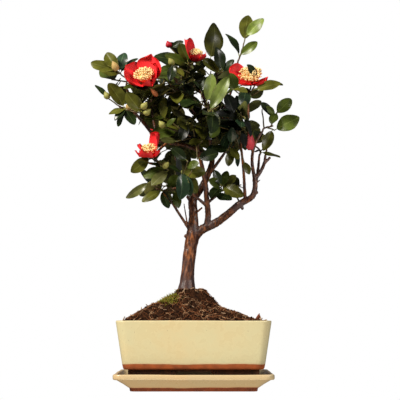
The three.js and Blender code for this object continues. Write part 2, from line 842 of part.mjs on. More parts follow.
// A twig is a row of straight lengths: its place and heading at a share of the way along it
function twigAt(twig, share) {
  const place = share * (twig.points.length - 1);
  const index = Math.min(Math.floor(place), twig.points.length - 2);
  const from = twig.points[index];
  const to = twig.points[index + 1];
  return { point: from.clone().lerp(to, place - index), tangent: to.clone().sub(from).normalize() };
}

function twigSolid(twig) {
  const last = twig.points.length - 1;
  const path = twig.points.map((point, index) => ({
    point,
    tangent: twigAt(twig, Math.max(index - 0.5, 0) / last).tangent
      .add(twigAt(twig, Math.min(index + 0.5, last) / last).tangent).normalize(),
    radius: twig.radius * (1 - 0.25 * index / last),
  }));
  return loft(tubeRings(path, 3));
}

// Two directions square to an axis
function crossPair(axis) {
  const hint = Math.abs(axis.z) < 0.9 ? UP : new THREE.Vector3(1, 0, 0);
  const first = axis.clone().cross(hint).normalize();
  return [first, axis.clone().cross(first)];
}

// A bud is a spindle on the end of its shoot
function budSolid(bud) {
  const [first, second] = crossPair(bud.axis);
  const ringAt = (share, width) => [0, 1, 2, 3, 4, 5].map((corner) => bud.root.clone()
    .addScaledVector(bud.axis, share * bud.size.length)
    .addScaledVector(first, Math.cos(corner * Math.PI / 3) * width * bud.size.radius)
    .addScaledVector(second, Math.sin(corner * Math.PI / 3) * width * bud.size.radius));
  return loft([
    [bud.root.clone().addScaledVector(bud.axis, -2)],
    ringAt(0.15, 0.7),
    ringAt(0.5, 1),
    ringAt(0.8, 0.6),
    [bud.root.clone().addScaledVector(bud.axis, bud.size.length)],
  ]);
}

function budSamples(bud) {
  return [0.3, 0.6, 1].map((share) => bud.root.clone().addScaledVector(bud.axis, bud.size.length * share));
}

// A flower is a cup of petals with a lobed rim, round a boss of stamens. A less open one is narrower
// and taller.
function flowerSolid(flower) {
  const [first, second] = crossPair(flower.axis);
  const rings = FLOWER_OUTLINE.map(([radius, height]) => {
    const ring = [];
    for (let corner = 0; corner < FLOWER_SIDES; corner += 1) {
      const angle = corner / FLOWER_SIDES * 2 * Math.PI;
      const lobe = radius > 20 && corner % 2 ? 1 - FLOWER_LOBES : 1 + FLOWER_LOBES / 2;
      const reach = radius * lobe * flower.size * flower.open;
      ring.push(flower.root.clone()
        .addScaledVector(flower.axis, height * flower.size * (2 - flower.open))
        .addScaledVector(first, Math.cos(angle) * reach)
        .addScaledVector(second, Math.sin(angle) * reach));
    }
    return ring;
  });
  return loft([[flower.root.clone().addScaledVector(flower.axis, -3)], ...rings]);
}

// The points that stand for a flower where leaves are kept clear of it
function flowerSamples(flower) {
  const [first, second] = crossPair(flower.axis);
  const samples = [];
  for (const [radius, height] of [FLOWER_OUTLINE[2], FLOWER_OUTLINE[3]]) {
    for (let corner = 0; corner < FLOWER_SIDES; corner += 1) {
      const angle = corner / FLOWER_SIDES * 2 * Math.PI;
      samples.push(flower.root.clone()
        .addScaledVector(flower.axis, (height + 6) * flower.size)
        .addScaledVector(first, Math.cos(angle) * radius * flower.size)
        .addScaledVector(second, Math.sin(angle) * radius * flower.size));
    }
  }
  return samples;
}

function twigSamples(twig) {
  const samples = [];
  for (let index = 1; index <= TWIG_SAMPLES; index += 1) {
    samples.push(twigAt(twig, index / TWIG_SAMPLES).point);
  }
  return samples;
}

function nearAny(points, others, distance) {
  return points.some((point) => others.some((other) => point.distanceTo(other) < distance));
}

function nearLimb(points, samples, distance) {
  return points.some((point) => samples.some(
    (limb) => point.distanceTo(limb.point) < limb.radius + distance,
  ));
}

// What the crown holds so far, so that each new twig and leaf can be kept clear of it
function startCrown() {
  return { limbs: limbSamples(), taken: new Map(MASSES.map((mass) => [mass.name, []])), shown: [] };
}

function inSpace(mass, points) {
  const middle = vector(mass.middle);
  const radii = vector(mass.radii);
  return points.every((point) => point.clone().sub(middle).divide(radii).length() < 1.05);
}

function clearOfOthers(crown, mass, points, distance) {
  for (const [name, taken] of crown.taken) {
    if (name !== mass.name && nearAny(points, taken, distance)) {
      return false;
    }
  }
  return true;
}

// Points of what the photograph shows, which leaves out the far side of the crown
function show(crown, points) {
  if (points[0].y < SHOWN_DEPTH) {
    crown.shown.push(...points);
  }
}

// Whether points lie between the viewer and something that the photograph shows
function hidesShown(crown, points) {
  return points.some((point) => crown.shown.some(
    (other) => point.y < other.y && Math.hypot(point.x - other.x, point.z - other.z) < SHOWN_ROOM,
  ));
}

// A leaf that fits is kept with the points that it takes up
function keepLeaf(crown, mass, plan, leaf, room) {
  const samples = leafSamples(leaf);
  const blade = samples.slice(3);
  const shown = room === LEAD_ROOM;
  const fits = inSpace(mass, samples)
    && (shown || !hidesShown(crown, samples))
    && !nearLimb(samples, crown.limbs, room.limb)
    && clearOfOthers(crown, mass, samples, room.mass)
    && !nearAny(blade, plan.blades, room.leaf)
    && !nearAny(blade, plan.stalks, room.twig);
  if (fits) {
    plan.leaves.push(leaf);
    plan.blades.push(...blade);
    crown.taken.get(mass.name).push(...samples);
  }
  if (fits && shown) {
    show(crown, samples);
  }
  return fits;
}

// The way a leaf faces: upwards and out of the crown, with some chance
function leafFace(root, random) {
  const outward = root.clone().sub(CROWN_MIDDLE).normalize();
  const chance = new THREE.Vector3(random() - 0.5, random() - 0.5, random() - 0.5);
  return UP.clone().multiplyScalar(0.55).addScaledVector(outward, 0.9).addScaledVector(chance, 0.8);
}

function keepTwig(crown, mass, plan, twig) {
  const samples = twigSamples(twig);
  plan.twigs.push(twig);
  plan.stalks.push(...samples);
  crown.taken.get(mass.name).push(...samples);
}

// The stem runs on from its bough's tip to the middle of the mass
function growStem(crown, mass) {
  const path = limbPath(LIMBS[mass.carrier], 0, Infinity);
  const { point, tangent } = path[path.length - 1];
  const root = point.clone().addScaledVector(tangent, GAP);
  const middle = vector(mass.middle);
  const knee = root.clone().addScaledVector(tangent, STEM_KNEE * root.distanceTo(middle));
  const stem = { points: [root, knee, middle], radius: STEM_RADIUS };
  const plan = { stem, twigs: [], stalks: [], leaves: [], blades: [], buds: [], flowers: [], shoots: [] };
  plan.leadTwigs = [];
  plan.random = seededStream(mass.seed);
  keepTwig(crown, mass, plan, stem);
  return plan;
}

// The shoots that the photograph shows, each with the bud or flower that ends it
function growLeads(crown, mass, plan) {
  mass.leads.forEach((lead, order) => {
    const tip = vector(lead.tip);
    const root = twigAt(plan.stem, LEAD_ROOT.first - LEAD_ROOT.step * order).point;
    const twig = { points: [root, tip], radius: TWIG_RADIUS };
    keepTwig(crown, mass, plan, twig);
    plan.leadTwigs.push(twig);
    if (lead.end in BUDS) {
      const axis = lead.end === "pink" ? UP : twigAt(twig, 1).tangent.add(UP).normalize();
      const bud = { root: tip, axis, size: BUDS[lead.end] };
      plan.buds.push(bud);
      crown.taken.get(mass.name).push(...budSamples(bud));
    }
    if (lead.end === "flower") {
      const flower = { root: tip, axis: vector(lead.axis).normalize(), size: lead.size, open: lead.open };
      const samples = flowerSamples(flower);
      plan.flowers.push(flower);
      plan.blades.push(...samples);
      show(crown, samples);
      crown.taken.get(mass.name).push(...samples);
    }
  });
}

// The other shoots spread from the stem to all sides of the mass
function growShoots(crown, mass, plan) {
  const middle = vector(mass.middle);
  const radii = vector(mass.radii);
  for (let index = 0; index < mass.shoots; index += 1) {
    const height = SHOOT_HEIGHT.top - SHOOT_HEIGHT.fall * (index + 0.5) / mass.shoots;
    const turn = index * SHOOT_TURN.step + plan.random() * SHOOT_TURN.chance;
    const flat = Math.sqrt(1 - height * height);
    const direction = new THREE.Vector3(Math.cos(turn) * flat, Math.sin(turn) * flat, height);
    const reach = SHOOT_REACH.least + SHOOT_REACH.chance * plan.random();
    const tip = middle.clone().addScaledVector(direction.multiply(radii), reach);
    const root = twigAt(plan.stem, SHOOT_ROOT.low + SHOOT_ROOT.span * ((index * SHOOT_ROOT.step) % 1)).point;
    const twig = { points: [root, tip], radius: TWIG_RADIUS };
    const samples = twigSamples(twig);
    const fits = !nearLimb(samples, crown.limbs, TWIG_RADIUS + 2)
      && clearOfOthers(crown, mass, samples, SHOOT_ROOM.mass)
      && !nearAny(samples, plan.blades, SHOOT_ROOM.twig);
    if (fits) {
      keepTwig(crown, mass, plan, twig);
      plan.shoots.push(twig);
    }
  }
}

// The leaves of a lead aim at the tips that the photograph shows
function growLeadLeaves(crown, mass, plan) {
  mass.leads.forEach((lead, order) => {
    lead.aims.forEach(([x, y, z, facing, width], index) => {
      const place = 1 - LEAD_LEAVES * (index + 0.1) / lead.aims.length;
      const root = twigAt(plan.leadTwigs[order], place).point;
      const leaf = leafFrame(root, vector([x, y, z]), vector(FACINGS[facing]), width);
      keepLeaf(crown, mass, plan, leaf, LEAD_ROOM);
    });
  });
}

// The leaves of a shoot stand in a spiral, wide at the foot and narrow at the tip
function growShootLeaves(crown, mass, plan, twig) {
  const start = plan.random() * 2 * Math.PI;
  for (let index = 0; index < SHOOT_LEAVES; index += 1) {
    const order = 1 - index / (SHOOT_LEAVES - 1);
    const place = LEAF_PLACE.low + LEAF_PLACE.span * order;
    const { point: root, tangent } = twigAt(twig, place);
    const [first, second] = crossPair(tangent);
    const length = LEAF_LENGTH * (LEAF_SIZE.least + LEAF_SIZE.chance * plan.random());
    const face = leafFace(root, plan.random);
    const spread = THREE.MathUtils.degToRad(THREE.MathUtils.lerp(LEAF_SPREAD.foot, LEAF_SPREAD.tip, order));
    for (let attempt = 0; attempt < LEAF_TRIES; attempt += 1) {
      const turn = start + index * LEAF_TURN + attempt * NEXT_TRY;
      const along = tangent.clone().multiplyScalar(Math.cos(spread))
        .addScaledVector(first, Math.sin(spread) * Math.cos(turn))
        .addScaledVector(second, Math.sin(spread) * Math.sin(turn));
      along.z -= LEAF_DROOP;
      const tip = root.clone().addScaledVector(along.normalize(), length);
      if (keepLeaf(crown, mass, plan, leafFrame(root, tip, face), SHOOT_ROOM)) {
        break;
      }
    }
  }
}

// What the photograph shows grows first. Then other shoots and their leaves take the space that is left.
function growCrown() {
  const crown = startCrown();
  const plans = MASSES.map((mass) => growStem(crown, mass));
  MASSES.forEach((mass, order) => growLeads(crown, mass, plans[order]));
  MASSES.forEach((mass, order) => growLeadLeaves(crown, mass, plans[order]));
  MASSES.forEach((mass, order) => growShoots(crown, mass, plans[order]));
  MASSES.forEach((mass, order) => {
    plans[order].shoots.forEach((twig) => growShootLeaves(crown, mass, plans[order], twig));
  });
  return plans;
}

// Twigs, leaves, blooms and buds fused into one solid, without any scrap that came loose
function massSolid(plan) {
  const whole = joined([
    ...plan.twigs.map(twigSolid),
    ...plan.leaves.map(leafSolid),
    ...plan.buds.map(budSolid),
    ...plan.flowers.map(flowerSolid),
  ]).simplify(0.3);
  const bodies = whole.decompose();
  bodies.sort((a, b) => b.volume() - a.volume());
  return bodies[0];
}

// A named mesh with the finish of its part
function makeMesh(name, solid, finish) {
  const { vertProperties, triVerts } = solid.getMesh();
  const geometry = new THREE.BufferGeometry();
  geometry.setAttribute("position", new THREE.BufferAttribute(new Float32Array(vertProperties), 3));
  geometry.setIndex(new THREE.BufferAttribute(new Uint32Array(triVerts), 1));
  geometry.computeVertexNormals();
  const mesh = new THREE.Mesh(geometry, new THREE.MeshStandardMaterial({ ...finish, metalness: 0 }));
  mesh.name = name;
  return mesh;
}

const bonsai = new THREE.Group();
bonsai.name = "camellia_bonsai";
bonsai.add(makeMesh("drip_tray", makeTray(), FINISH.glaze));
bonsai.add(makeMesh("pot", makePot(), FINISH.glaze));
bonsai.add(makeMesh("soil", makeSoil(), FINISH.soil));
for (const [name, solid] of makeLimbs()) {
  bonsai.add(makeMesh(name, solid, FINISH.bark));
}
growCrown().forEach((plan, order) => {
  bonsai.add(makeMesh(`foliage_${MASSES[order].name}`, massSolid(plan), FINISH.leaf));
});

export default bonsai;
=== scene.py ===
# A camellia bonsai in its glazed planter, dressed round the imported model.
import math

import bpy
import numpy as np
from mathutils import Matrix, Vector, noise
from mathutils.bvhtree import BVHTree
from mathutils.kdtree import KDTree


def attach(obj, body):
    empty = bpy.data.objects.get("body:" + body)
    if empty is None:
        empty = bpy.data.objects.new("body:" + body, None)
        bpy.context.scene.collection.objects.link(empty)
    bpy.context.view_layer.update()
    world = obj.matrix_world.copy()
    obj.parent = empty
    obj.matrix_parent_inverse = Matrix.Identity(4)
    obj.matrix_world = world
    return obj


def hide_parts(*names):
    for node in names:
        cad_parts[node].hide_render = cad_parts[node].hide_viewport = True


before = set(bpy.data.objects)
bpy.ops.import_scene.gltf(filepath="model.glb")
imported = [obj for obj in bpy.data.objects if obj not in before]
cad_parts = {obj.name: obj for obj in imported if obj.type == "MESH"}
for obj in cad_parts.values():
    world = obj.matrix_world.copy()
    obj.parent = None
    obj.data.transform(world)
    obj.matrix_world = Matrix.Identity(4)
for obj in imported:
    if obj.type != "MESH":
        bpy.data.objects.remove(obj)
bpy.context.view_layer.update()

# Drip tray
# A shallow stoneware tray with sloping walls and a thick rim, dipped in the same cream glaze as the
# planter. Its low foot is left bare, so that the red clay shows where it stands on the table.
MM = 0.001
CORNER_STEPS = 8
SIDE_STEPS = (44, 32)
EDGE_STEPS = 3
# Width and height from the underside up the wall, over the rim and down to the floor inside
TRAY_PROFILE = [
    (150, 0), (207, 0), (209, 5.5), (213, 6.4), (228, 12), (249, 18.8), (258, 19.4), (260, 21.2),
    (260, 26.4), (257.6, 28), (250, 28), (247, 26.5), (226, 12.8), (218, 12), (150, 12),
]
# How far its edges curve, how much shorter its ends are, and its corner radius, which grows with its width
TRAY_SHAPE = {"edge": 1.6, "shorter": 60, "corner": 9, "width": 207, "growth": 0.095, "least": 4}
# How clay settles and warps in the kiln: the length of the wave and how far it moves the surface
TRAY_WARP = ((45, 0.5),)
TRAY_GLAZE = {"Glaze From": 0.0062, "Rim Height": 0.0272, "Tone": (0.81, 0.72, 0.70),
              "Clay": (0.25, 0.050, 0.011)}
# The tray stays flat below this height, where it stands on the table
FLAT_BELOW = 0.01
# Without a seed this noise would take one from the clock
NOISE_SEED = 7
GLAZE_FINISH = {"shine": 0.5, "bump": (0.5, 0.0008)}
GLAZE_CREAM = (0.67, 0.60, 0.36)
GLAZE_PEACH = (0.70, 0.57, 0.32)
GLAZE_PALE = (0.64, 0.60, 0.37)
GLAZE_THIN = (0.66, 0.46, 0.25)
GLAZE_SPECK = (0.20, 0.12, 0.05)
CLAY_STAIN = (0.03, 0.010, 0.006)


def rounded_ring(width, depth, corner, height):
    """A level ring in the shape of a rectangle with round corners, stepped evenly along its sides."""
    half = np.array([width / 2 - corner, depth / 2 - corner])
    signs = ((1, 1), (-1, 1), (-1, -1), (1, -1))
    points = []
    for side in range(4):
        middle = half * signs[side]
        for step in range(CORNER_STEPS + 1):
            angle = (side + step / CORNER_STEPS) * math.pi / 2
            points.append(middle + corner * np.array([math.cos(angle), math.sin(angle)]))
        start = points[-1]
        run = half * signs[(side + 1) % 4] - middle
        steps = SIDE_STEPS[side % 2]
        points += [start + run * step / steps for step in range(1, steps)]
    return np.column_stack([np.array(points), np.full(len(points), float(height))])


def softened(outline, radius):
    """The outline with each of its corners swapped for a short curve."""
    outline = np.asarray(outline, float)
    points = [outline[0]]
    for before, corner, after in zip(outline, outline[1:], outline[2:]):
        start = corner + (before - corner) * min(0.45, radius / np.linalg.norm(before - corner))
        end = corner + (after - corner) * min(0.45, radius / np.linalg.norm(after - corner))
        for share in np.linspace(0, 1, EDGE_STEPS + 1):
            points.append((1 - share) ** 2 * start + 2 * share * (1 - share) * corner + share ** 2 * end)
    points.append(outline[-1])
    return points


def loft(rings, capped=True):
    """Points and faces of a skin through a row of rings with as many points each."""
    count = len(rings[0])
    faces = []
    for row in range(len(rings) - 1):
        low, high = row * count, (row + 1) * count
        for corner in range(count):
            after = (corner + 1) % count
            faces.append((low + corner, low + after, high + after, high + corner))
    if capped:
        faces.append(tuple(range(count - 1, -1, -1)))
        faces.append(tuple(range((len(rings) - 1) * count, len(rings) * count)))
    return np.concatenate(rings), faces


def walled(profile, edge, shorter, corner, width, growth, least):
    """Points and faces of a tray or pot: a rounded rectangle carried along its profile."""
    rings = []
    for wide, height in softened(profile, edge):
        radius = max(corner + (wide - width) * growth, least)
        rings.append(rounded_ring(wide, wide - shorter, radius, height))
    return loft(rings)


def uneven(points, waves, amount=1):
    """Points moved by waves of noise, each with its length and its reach."""
    moved = []
    for place in map(Vector, points):
        shifts = [noise.noise_vector(place / length) * reach for length, reach in waves]
        moved.append(place + sum(shifts, Vector()) * amount)
    return np.array(moved)


def add_piece(name, points, faces, materials, slot, nodes, kinds=None):
    """A smooth mesh from points in millimetres, riding on the one body and standing for CAD nodes."""
    mesh = bpy.data.meshes.new(name)
    mesh.from_pydata((np.asarray(points) * MM).tolist(), [], faces)
    for material in materials:
        mesh.materials.append(material)
    mesh.polygons.foreach_set("use_smooth", np.ones(len(mesh.polygons), bool))
    if kinds is not None:
        mesh.polygons.foreach_set("material_index", np.asarray(kinds, np.int32))
    mesh.update()
    piece = bpy.data.objects.new(name, mesh)
    bpy.context.scene.collection.objects.link(piece)
    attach(piece, "root")
    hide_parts(*nodes)


def node(tree, kind, inputs=None, **settings):
    """A shader node with its settings, and with its inputs set to values or linked to sockets."""
    made = tree.nodes.new("ShaderNode" + kind)
    for key, value in settings.items():
        setattr(made, key, value)
    for key, value in (inputs or {}).items():
        socket = made.inputs[key]
        if isinstance(value, bpy.types.NodeSocket):
            tree.links.new(value, socket)
        else:
            socket.default_value = (*value, 1) if socket.type == "RGBA" else value
    return made


def mixed(tree, share, first, second, way="MIX"):
    """A colour between two others."""
    inputs = {0: share, 6: first, 7: second}
    return node(tree, "Mix", inputs, data_type="RGBA", blend_type=way).outputs[2]


def maths(tree, operation, first, second):
    return node(tree, "Math", {0: first, 1: second}, operation=operation).outputs[0]


def ranged(tree, value, low, high, to_low=0.0, to_high=1.0):
    """A value moved from one range to another and held within it."""
    inputs = {"Value": value, "From Min": low, "From Max": high, "To Min": to_low, "To Max": to_high}
    return node(tree, "MapRange", inputs).outputs[0]


def clouds(tree, place, scale, detail=3.0):
    """Soft noise about the middle value 0.5."""
    return node(tree, "TexNoise", {"Vector": place, "Scale": scale, "Detail": detail}).outputs["Fac"]


def start_group(name, colours=(), values=()):
    """A shader node group, its named inputs, and the place on the object that its patterns go by."""
    tree = bpy.data.node_groups.new(name, "ShaderNodeTree")
    for kind, sockets in (("NodeSocketColor", colours), ("NodeSocketFloat", values)):
        for socket in sockets:
            tree.interface.new_socket(socket, in_out="INPUT", socket_type=kind)
    return tree, tree.nodes.new("NodeGroupInput").outputs, node(tree, "TexCoord").outputs["Object"]


def finish_group(tree, **results):
    """A shader node group with its results on named outputs."""
    end = tree.nodes.new("NodeGroupOutput")
    for socket, value in results.items():
        kind = "NodeSocketColor" if socket == "Color" else "NodeSocketFloat"
        tree.interface.new_socket(socket, in_out="OUTPUT", socket_type=kind)
        tree.links.new(value, end.inputs[socket])
    return tree


def coated(name, group, inputs, shine, bump, roughness=0.5):
    """A material whose main shader takes its colour, its relief and any roughness from a node group."""
    material = bpy.data.materials.new(name)
    material.use_nodes = True
    tree = material.node_tree
    shader = tree.nodes["Principled BSDF"]
    shader.inputs["Specular IOR Level"].default_value = shine
    shader.inputs["Roughness"].default_value = roughness
    made = node(tree, "Group", inputs, node_tree=group).outputs
    relief = node(tree, "Bump", {"Height": made["Height"], "Strength": bump[0], "Distance": bump[1]})
    tree.links.new(made["Color"], shader.inputs["Base Color"])
    tree.links.new(relief.outputs[0], shader.inputs["Normal"])
    if "Roughness" in made:
        tree.links.new(made["Roughness"], shader.inputs["Roughness"])
    return material


def glaze_group():
    """Cream glaze over red clay: bare below a wavy edge, thin and peach near it, with a few pits."""
    tree, given, place = start_group("glaze_over_clay", ("Tone", "Clay"), ("Glaze From", "Rim Height"))
    height = node(tree, "SeparateXYZ", {0: place}).outputs["Z"]
    slow = clouds(tree, place, 9)
    fine = clouds(tree, place, 70, 4)
    grain = clouds(tree, place, 420, 2)
    wavy = maths(tree, "MULTIPLY", maths(tree, "SUBTRACT", clouds(tree, place, 16, 5), 0.5), 0.006)
    above = maths(tree, "SUBTRACT", maths(tree, "SUBTRACT", height, given["Glaze From"]), wavy)
    covered = ranged(tree, above, -0.0002, 0.0003)
    cream = mixed(tree, ranged(tree, slow, 0.35, 0.65), GLAZE_PEACH, GLAZE_CREAM)
    cream = mixed(tree, ranged(tree, fine, 0.45, 0.75, 0, 0.4), cream, GLAZE_PALE)
    near_edge = ranged(tree, above, 0.0, 0.0028, 0.75, 0.0)
    near_rim = maths(tree, "SUBTRACT", height, given["Rim Height"])
    near_rim = maths(tree, "MULTIPLY", ranged(tree, near_rim, -0.0005, 0.0006, 0, 0.4), slow)
    cream = mixed(tree, maths(tree, "MAXIMUM", near_edge, near_rim), cream, GLAZE_THIN)
    dots = node(tree, "TexVoronoi", {"Vector": place, "Scale": 75.0}).outputs["Distance"]
    pits = maths(tree, "MULTIPLY", ranged(tree, dots, 0.035, 0.075, 1, 0), ranged(tree, fine, 0.52, 0.6))
    cream = mixed(tree, maths(tree, "MULTIPLY", pits, 0.55), cream, GLAZE_SPECK)
    cream = mixed(tree, 1.0, cream, given["Tone"], "MULTIPLY")
    clay = mixed(tree, ranged(tree, fine, 0.35, 0.65, 0.45, 0), given["Clay"], CLAY_STAIN)
    shiny = ranged(tree, fine, 0.3, 0.7, 0.2, 0.36)
    dull = ranged(tree, covered, 0.0, 1.0, 0.85, 0.0)
    relief = maths(tree, "ADD", maths(tree, "MULTIPLY", covered, 0.5), maths(tree, "MULTIPLY", grain, 0.05))
    relief = maths(tree, "SUBTRACT", relief, maths(tree, "MULTIPLY", pits, 0.5))
    return finish_group(tree, Color=mixed(tree, covered, clay, cream),
                        Roughness=maths(tree, "MAXIMUM", shiny, dull), Height=relief)


noise.seed_set(NOISE_SEED)
GLAZE = glaze_group()
tray_points, tray_faces = walled(TRAY_PROFILE, **TRAY_SHAPE)
tray_raised = tray_points[:, 2] >= FLAT_BELOW
tray_points[tray_raised] = uneven(tray_points[tray_raised], TRAY_WARP)
tray_points[:, 2] = np.maximum(tray_points[:, 2], 0)
tray_glaze = coated("tray_glaze", GLAZE, TRAY_GLAZE, **GLAZE_FINISH)
add_piece("glazed_tray", tray_points, tray_faces, [tray_glaze], "glaze", ["drip_tray"])

# Planter
# A rectangular stoneware planter with flaring walls, dipped in cream glaze to just above its lower
# edge, where a band of red clay stays bare. It stands on a recessed foot that is cut into four.
# Width and height from under the wall up to the rim and down inside it, to below the soil
POT_PROFILE = [
    (200, 36), (226.4, 35.5), (229, 37.2), (232, 44), (252.6, 112.4), (251.4, 114), (241, 114),
    (238.6, 112), (234, 92), (190, 90),
]
POT_SHAPE = {"edge": 1.8, "shorter": 63, "corner": 12, "width": 229, "growth": 0.17, "least": 5}
POT_WARP = ((55, 0.6),)
POT_GLAZE = {"Glaze From": 0.0436, "Rim Height": 0.1132, "Tone": (0.89, 0.91, 0.92),
             "Clay": (0.45, 0.103, 0.020)}
FOOT = {"width": 214, "depth": 152, "corner": 10, "wall": 11, "low": 12.3, "high": 37, "slope": 0.8}
FOOT_FINISH = {"shine": 0.5, "bump": (0.3, 0.0005), "roughness": 0.9}
# The foot's two clay colours are darkened as painted shade, standing in for the shadow in the recess under
# the pot
FOOT_SHADE_DARK = (0.028, 0.011, 0.006)
FOOT_SHADE_CLAY = (0.085, 0.027, 0.011)
ARCH = {"long": 29, "short": 22, "splay": 8, "height": 20}


def arch_height(x, y):
    """How far the foot's lower edge is lifted at a point: the four cut-outs have sloping ends."""
    lift = 0.0
    sides = ((x, y, ARCH["long"], FOOT["depth"]), (y, x, ARCH["short"], FOOT["width"]))
    for along, across, half, wide in sides:
        if abs(across) > wide / 2 - FOOT["wall"] - 1:
            lift = max(lift, min(1.0, (half + ARCH["splay"] - abs(along)) / ARCH["splay"]))
    return lift * ARCH["height"]


def foot_rings():
    """Four rings of the foot's wall: down its outside and up its inside."""
    rings = []
    for inset, edge in ((0, "high"), (FOOT["slope"], "low"), (FOOT["wall"], "low"), (FOOT["wall"], "high")):
        ring = rounded_ring(FOOT["width"] - 2 * inset, FOOT["depth"] - 2 * inset, FOOT["corner"], FOOT[edge])
        if edge == "low":
            ring[:, 2] += [arch_height(x, y) for x, y, _ in ring]
        rings.append(ring)
    return rings


def clay_group():
    """Bare fired clay, a little sandy, darkened in patches as painted shade for the recess under the pot."""
    tree, _, place = start_group("painted_shade_clay")
    blotches = ranged(tree, clouds(tree, place, 90, 4), 0.3, 0.7)
    colour = mixed(tree, blotches, FOOT_SHADE_DARK, FOOT_SHADE_CLAY)
    return finish_group(tree, Color=colour, Height=clouds(tree, place, 500, 2))


pot_points, pot_faces = walled(POT_PROFILE, **POT_SHAPE)
pot_glaze = coated("pot_glaze", GLAZE, POT_GLAZE, **GLAZE_FINISH)
add_piece("glazed_pot", uneven(pot_points, POT_WARP), pot_faces, [pot_glaze], "glaze", ["pot"])
foot_wall = foot_rings()
# The feet take the darkened clay: painted shade under the overhanging pot
bare_clay = coated("bare_clay", clay_group(), {}, **FOOT_FINISH)
add_piece("pot_feet", *loft(foot_wall + foot_wall[:1], capped=False), [bare_clay], "glaze", ["pot"])

# Soil and root ball
# Peat and fine roots, packed in the planter and heaped round the root ball that the trunk stands on.
# Fibres and crumbs lie all over it, slivers of bark mostly near the wall, and moss on its left flank.
SOIL_SIZE = (237.4, 174.4, 9)
SOIL_EDGE_Z = 111
SOIL_SUNK = 12
GROUND_Z = 167
ROOT_BALL = {"x": -3, "y": 0, "radius": 24, "droop": 5}
# How far up the mound has come at each share of the way in, on its gentle left and on its right
MOUND_STEPS = [0, 0.25, 0.55, 0.75, 0.9, 1]
MOUND_LEFT = [0, 0.26, 0.53, 0.66, 0.8, 1]
MOUND_RIGHT = [0, 0.1, 0.3, 0.45, 0.76, 1]
MOUND_RINGS = 64
EDGE_PARTS = 3
CAP_SHARES = (0.85, 0.7, 0.5, 0.3)
# Lumps of three sizes, which grow from nothing at the wall
LUMPS = ((15, 2.4), (7, 2.8), (2.5, 0.6))
LUMPS_RISE = 9
SPOTS = {"half": (117, 86), "from": 260}
EARTH_FINISH = {"shine": 0.05, "bump": (0.6, 0.001)}
PEAT = {"Dark": (0.006, 0.003, 0.002), "Light": (0.045, 0.018, 0.008), "Scale": 160}
FIBRES = (("fibres_red", 2000, (0.26, 0.096, 0.040)), ("fibres_tan", 1000, (0.52, 0.31, 0.17)),
          ("fibres_dark", 500, (0.020, 0.011, 0.007)))
CLUMP = 9
CRUMBS = 900
SLIVERS = 150
SLIVER_EDGE = 0.8
SLIVER_COLOUR = (0.46, 0.30, 0.19)
CHIP = (np.array([103, -46, 112]), np.array([108, -50, 125]), 3.2)
CHIP_COLOUR = (0.27, 0.085, 0.045)
MOSS_TRIES = 16000
MOSS_MIDDLE = np.array([-40, -22, 146])
MOSS_REACH = np.array([21, 22, 16])
MOSS_EDGE = {"at": 0.85, "chance": 0.22}
MOSS_COLOURS = ((0.18, 0.17, 0.015), (0.37, 0.34, 0.06))


def mound_ring(edge, share):
    """A ring of the mound, gentle on the left and steep near the root ball on the right."""
    angle = np.arctan2(edge[:, 1] / SOIL_SIZE[1], edge[:, 0] / SOIL_SIZE[0])
    rightness = (1 + np.cos(angle)) / 2
    left = np.interp(share, MOUND_STEPS, MOUND_LEFT)
    right = np.interp(share, MOUND_STEPS, MOUND_RIGHT)
    ring = edge.copy()
    ring[:, 0] += (ROOT_BALL["x"] + ROOT_BALL["radius"] * np.cos(angle) - edge[:, 0]) * share
    ring[:, 1] += (ROOT_BALL["y"] + ROOT_BALL["radius"] * np.sin(angle) - edge[:, 1]) * share
    droop = ROOT_BALL["droop"] * rightness * share ** 6
    ring[:, 2] += (GROUND_Z - SOIL_EDGE_Z) * (left + (right - left) * rightness) - droop
    return ring


def mound_mesh():
    """The whole mound: from the wall up to the root ball and over its flat top."""
    edge = rounded_ring(*SOIL_SIZE, SOIL_EDGE_Z)
    run = np.roll(edge, -1, axis=0) - edge
    edge = np.stack([edge + run * part / EDGE_PARTS for part in range(EDGE_PARTS)], axis=1).reshape(-1, 3)
    shares = np.linspace(0, 1, MOUND_RINGS)
    rings = [uneven(mound_ring(edge, share), LUMPS, min(1, share * LUMPS_RISE)) for share in shares]
    top = mound_ring(edge, 1)
    middle = np.array([ROOT_BALL["x"], ROOT_BALL["y"], GROUND_Z - 0.5])
    rings += [uneven(middle + (top - middle) * share, LUMPS) for share in CAP_SHARES]
    return loft([edge - [0, 0, SOIL_SUNK]] + rings)


def line_headings(points):
    """The way that a line heads at each of its points."""
    headings = np.gradient(points, axis=0)
    return headings / np.linalg.norm(headings, axis=1, keepdims=True)


def tube_rings(points, radii, sides):
    """Rings square to a path, with the side direction carried along so that they don't twist."""
    points = np.asarray(points, float)
    headings = line_headings(points)
    side = np.array([0.0, 1.0, 0.0]) if abs(headings[0][0]) > 0.8 else np.array([1.0, 0.0, 0.0])
    angles = np.arange(sides) * 2 * math.pi / sides
    rings = []
    for point, heading, radius in zip(points, headings, radii):
        side = side - heading * side.dot(heading)
        side /= np.linalg.norm(side)
        arms = np.outer(np.cos(angles), side) + np.outer(np.sin(angles), np.cross(heading, side))
        rings.append(point + arms * radius)
    return rings


def tube(points, radii, sides):
    return loft(tube_rings(points, radii, sides))


def rough_tube(chance, points, widths, size, sides, rough):
    """A tube of a size, with each of its points moved by chance."""
    rings = tube_rings(points, np.asarray(widths) * size, sides)
    return loft([ring + chance.normal(size=ring.shape) * size * rough for ring in rings])


def gathered(parts):
    """Many small meshes joined into one list of points and one of faces."""
    points, faces, start = [], [], 0
    for part_points, part_faces in parts:
        points.append(part_points)
        faces += [tuple(start + corner for corner in face) for face in part_faces]
        start += len(part_points)
    return np.concatenate(points), faces


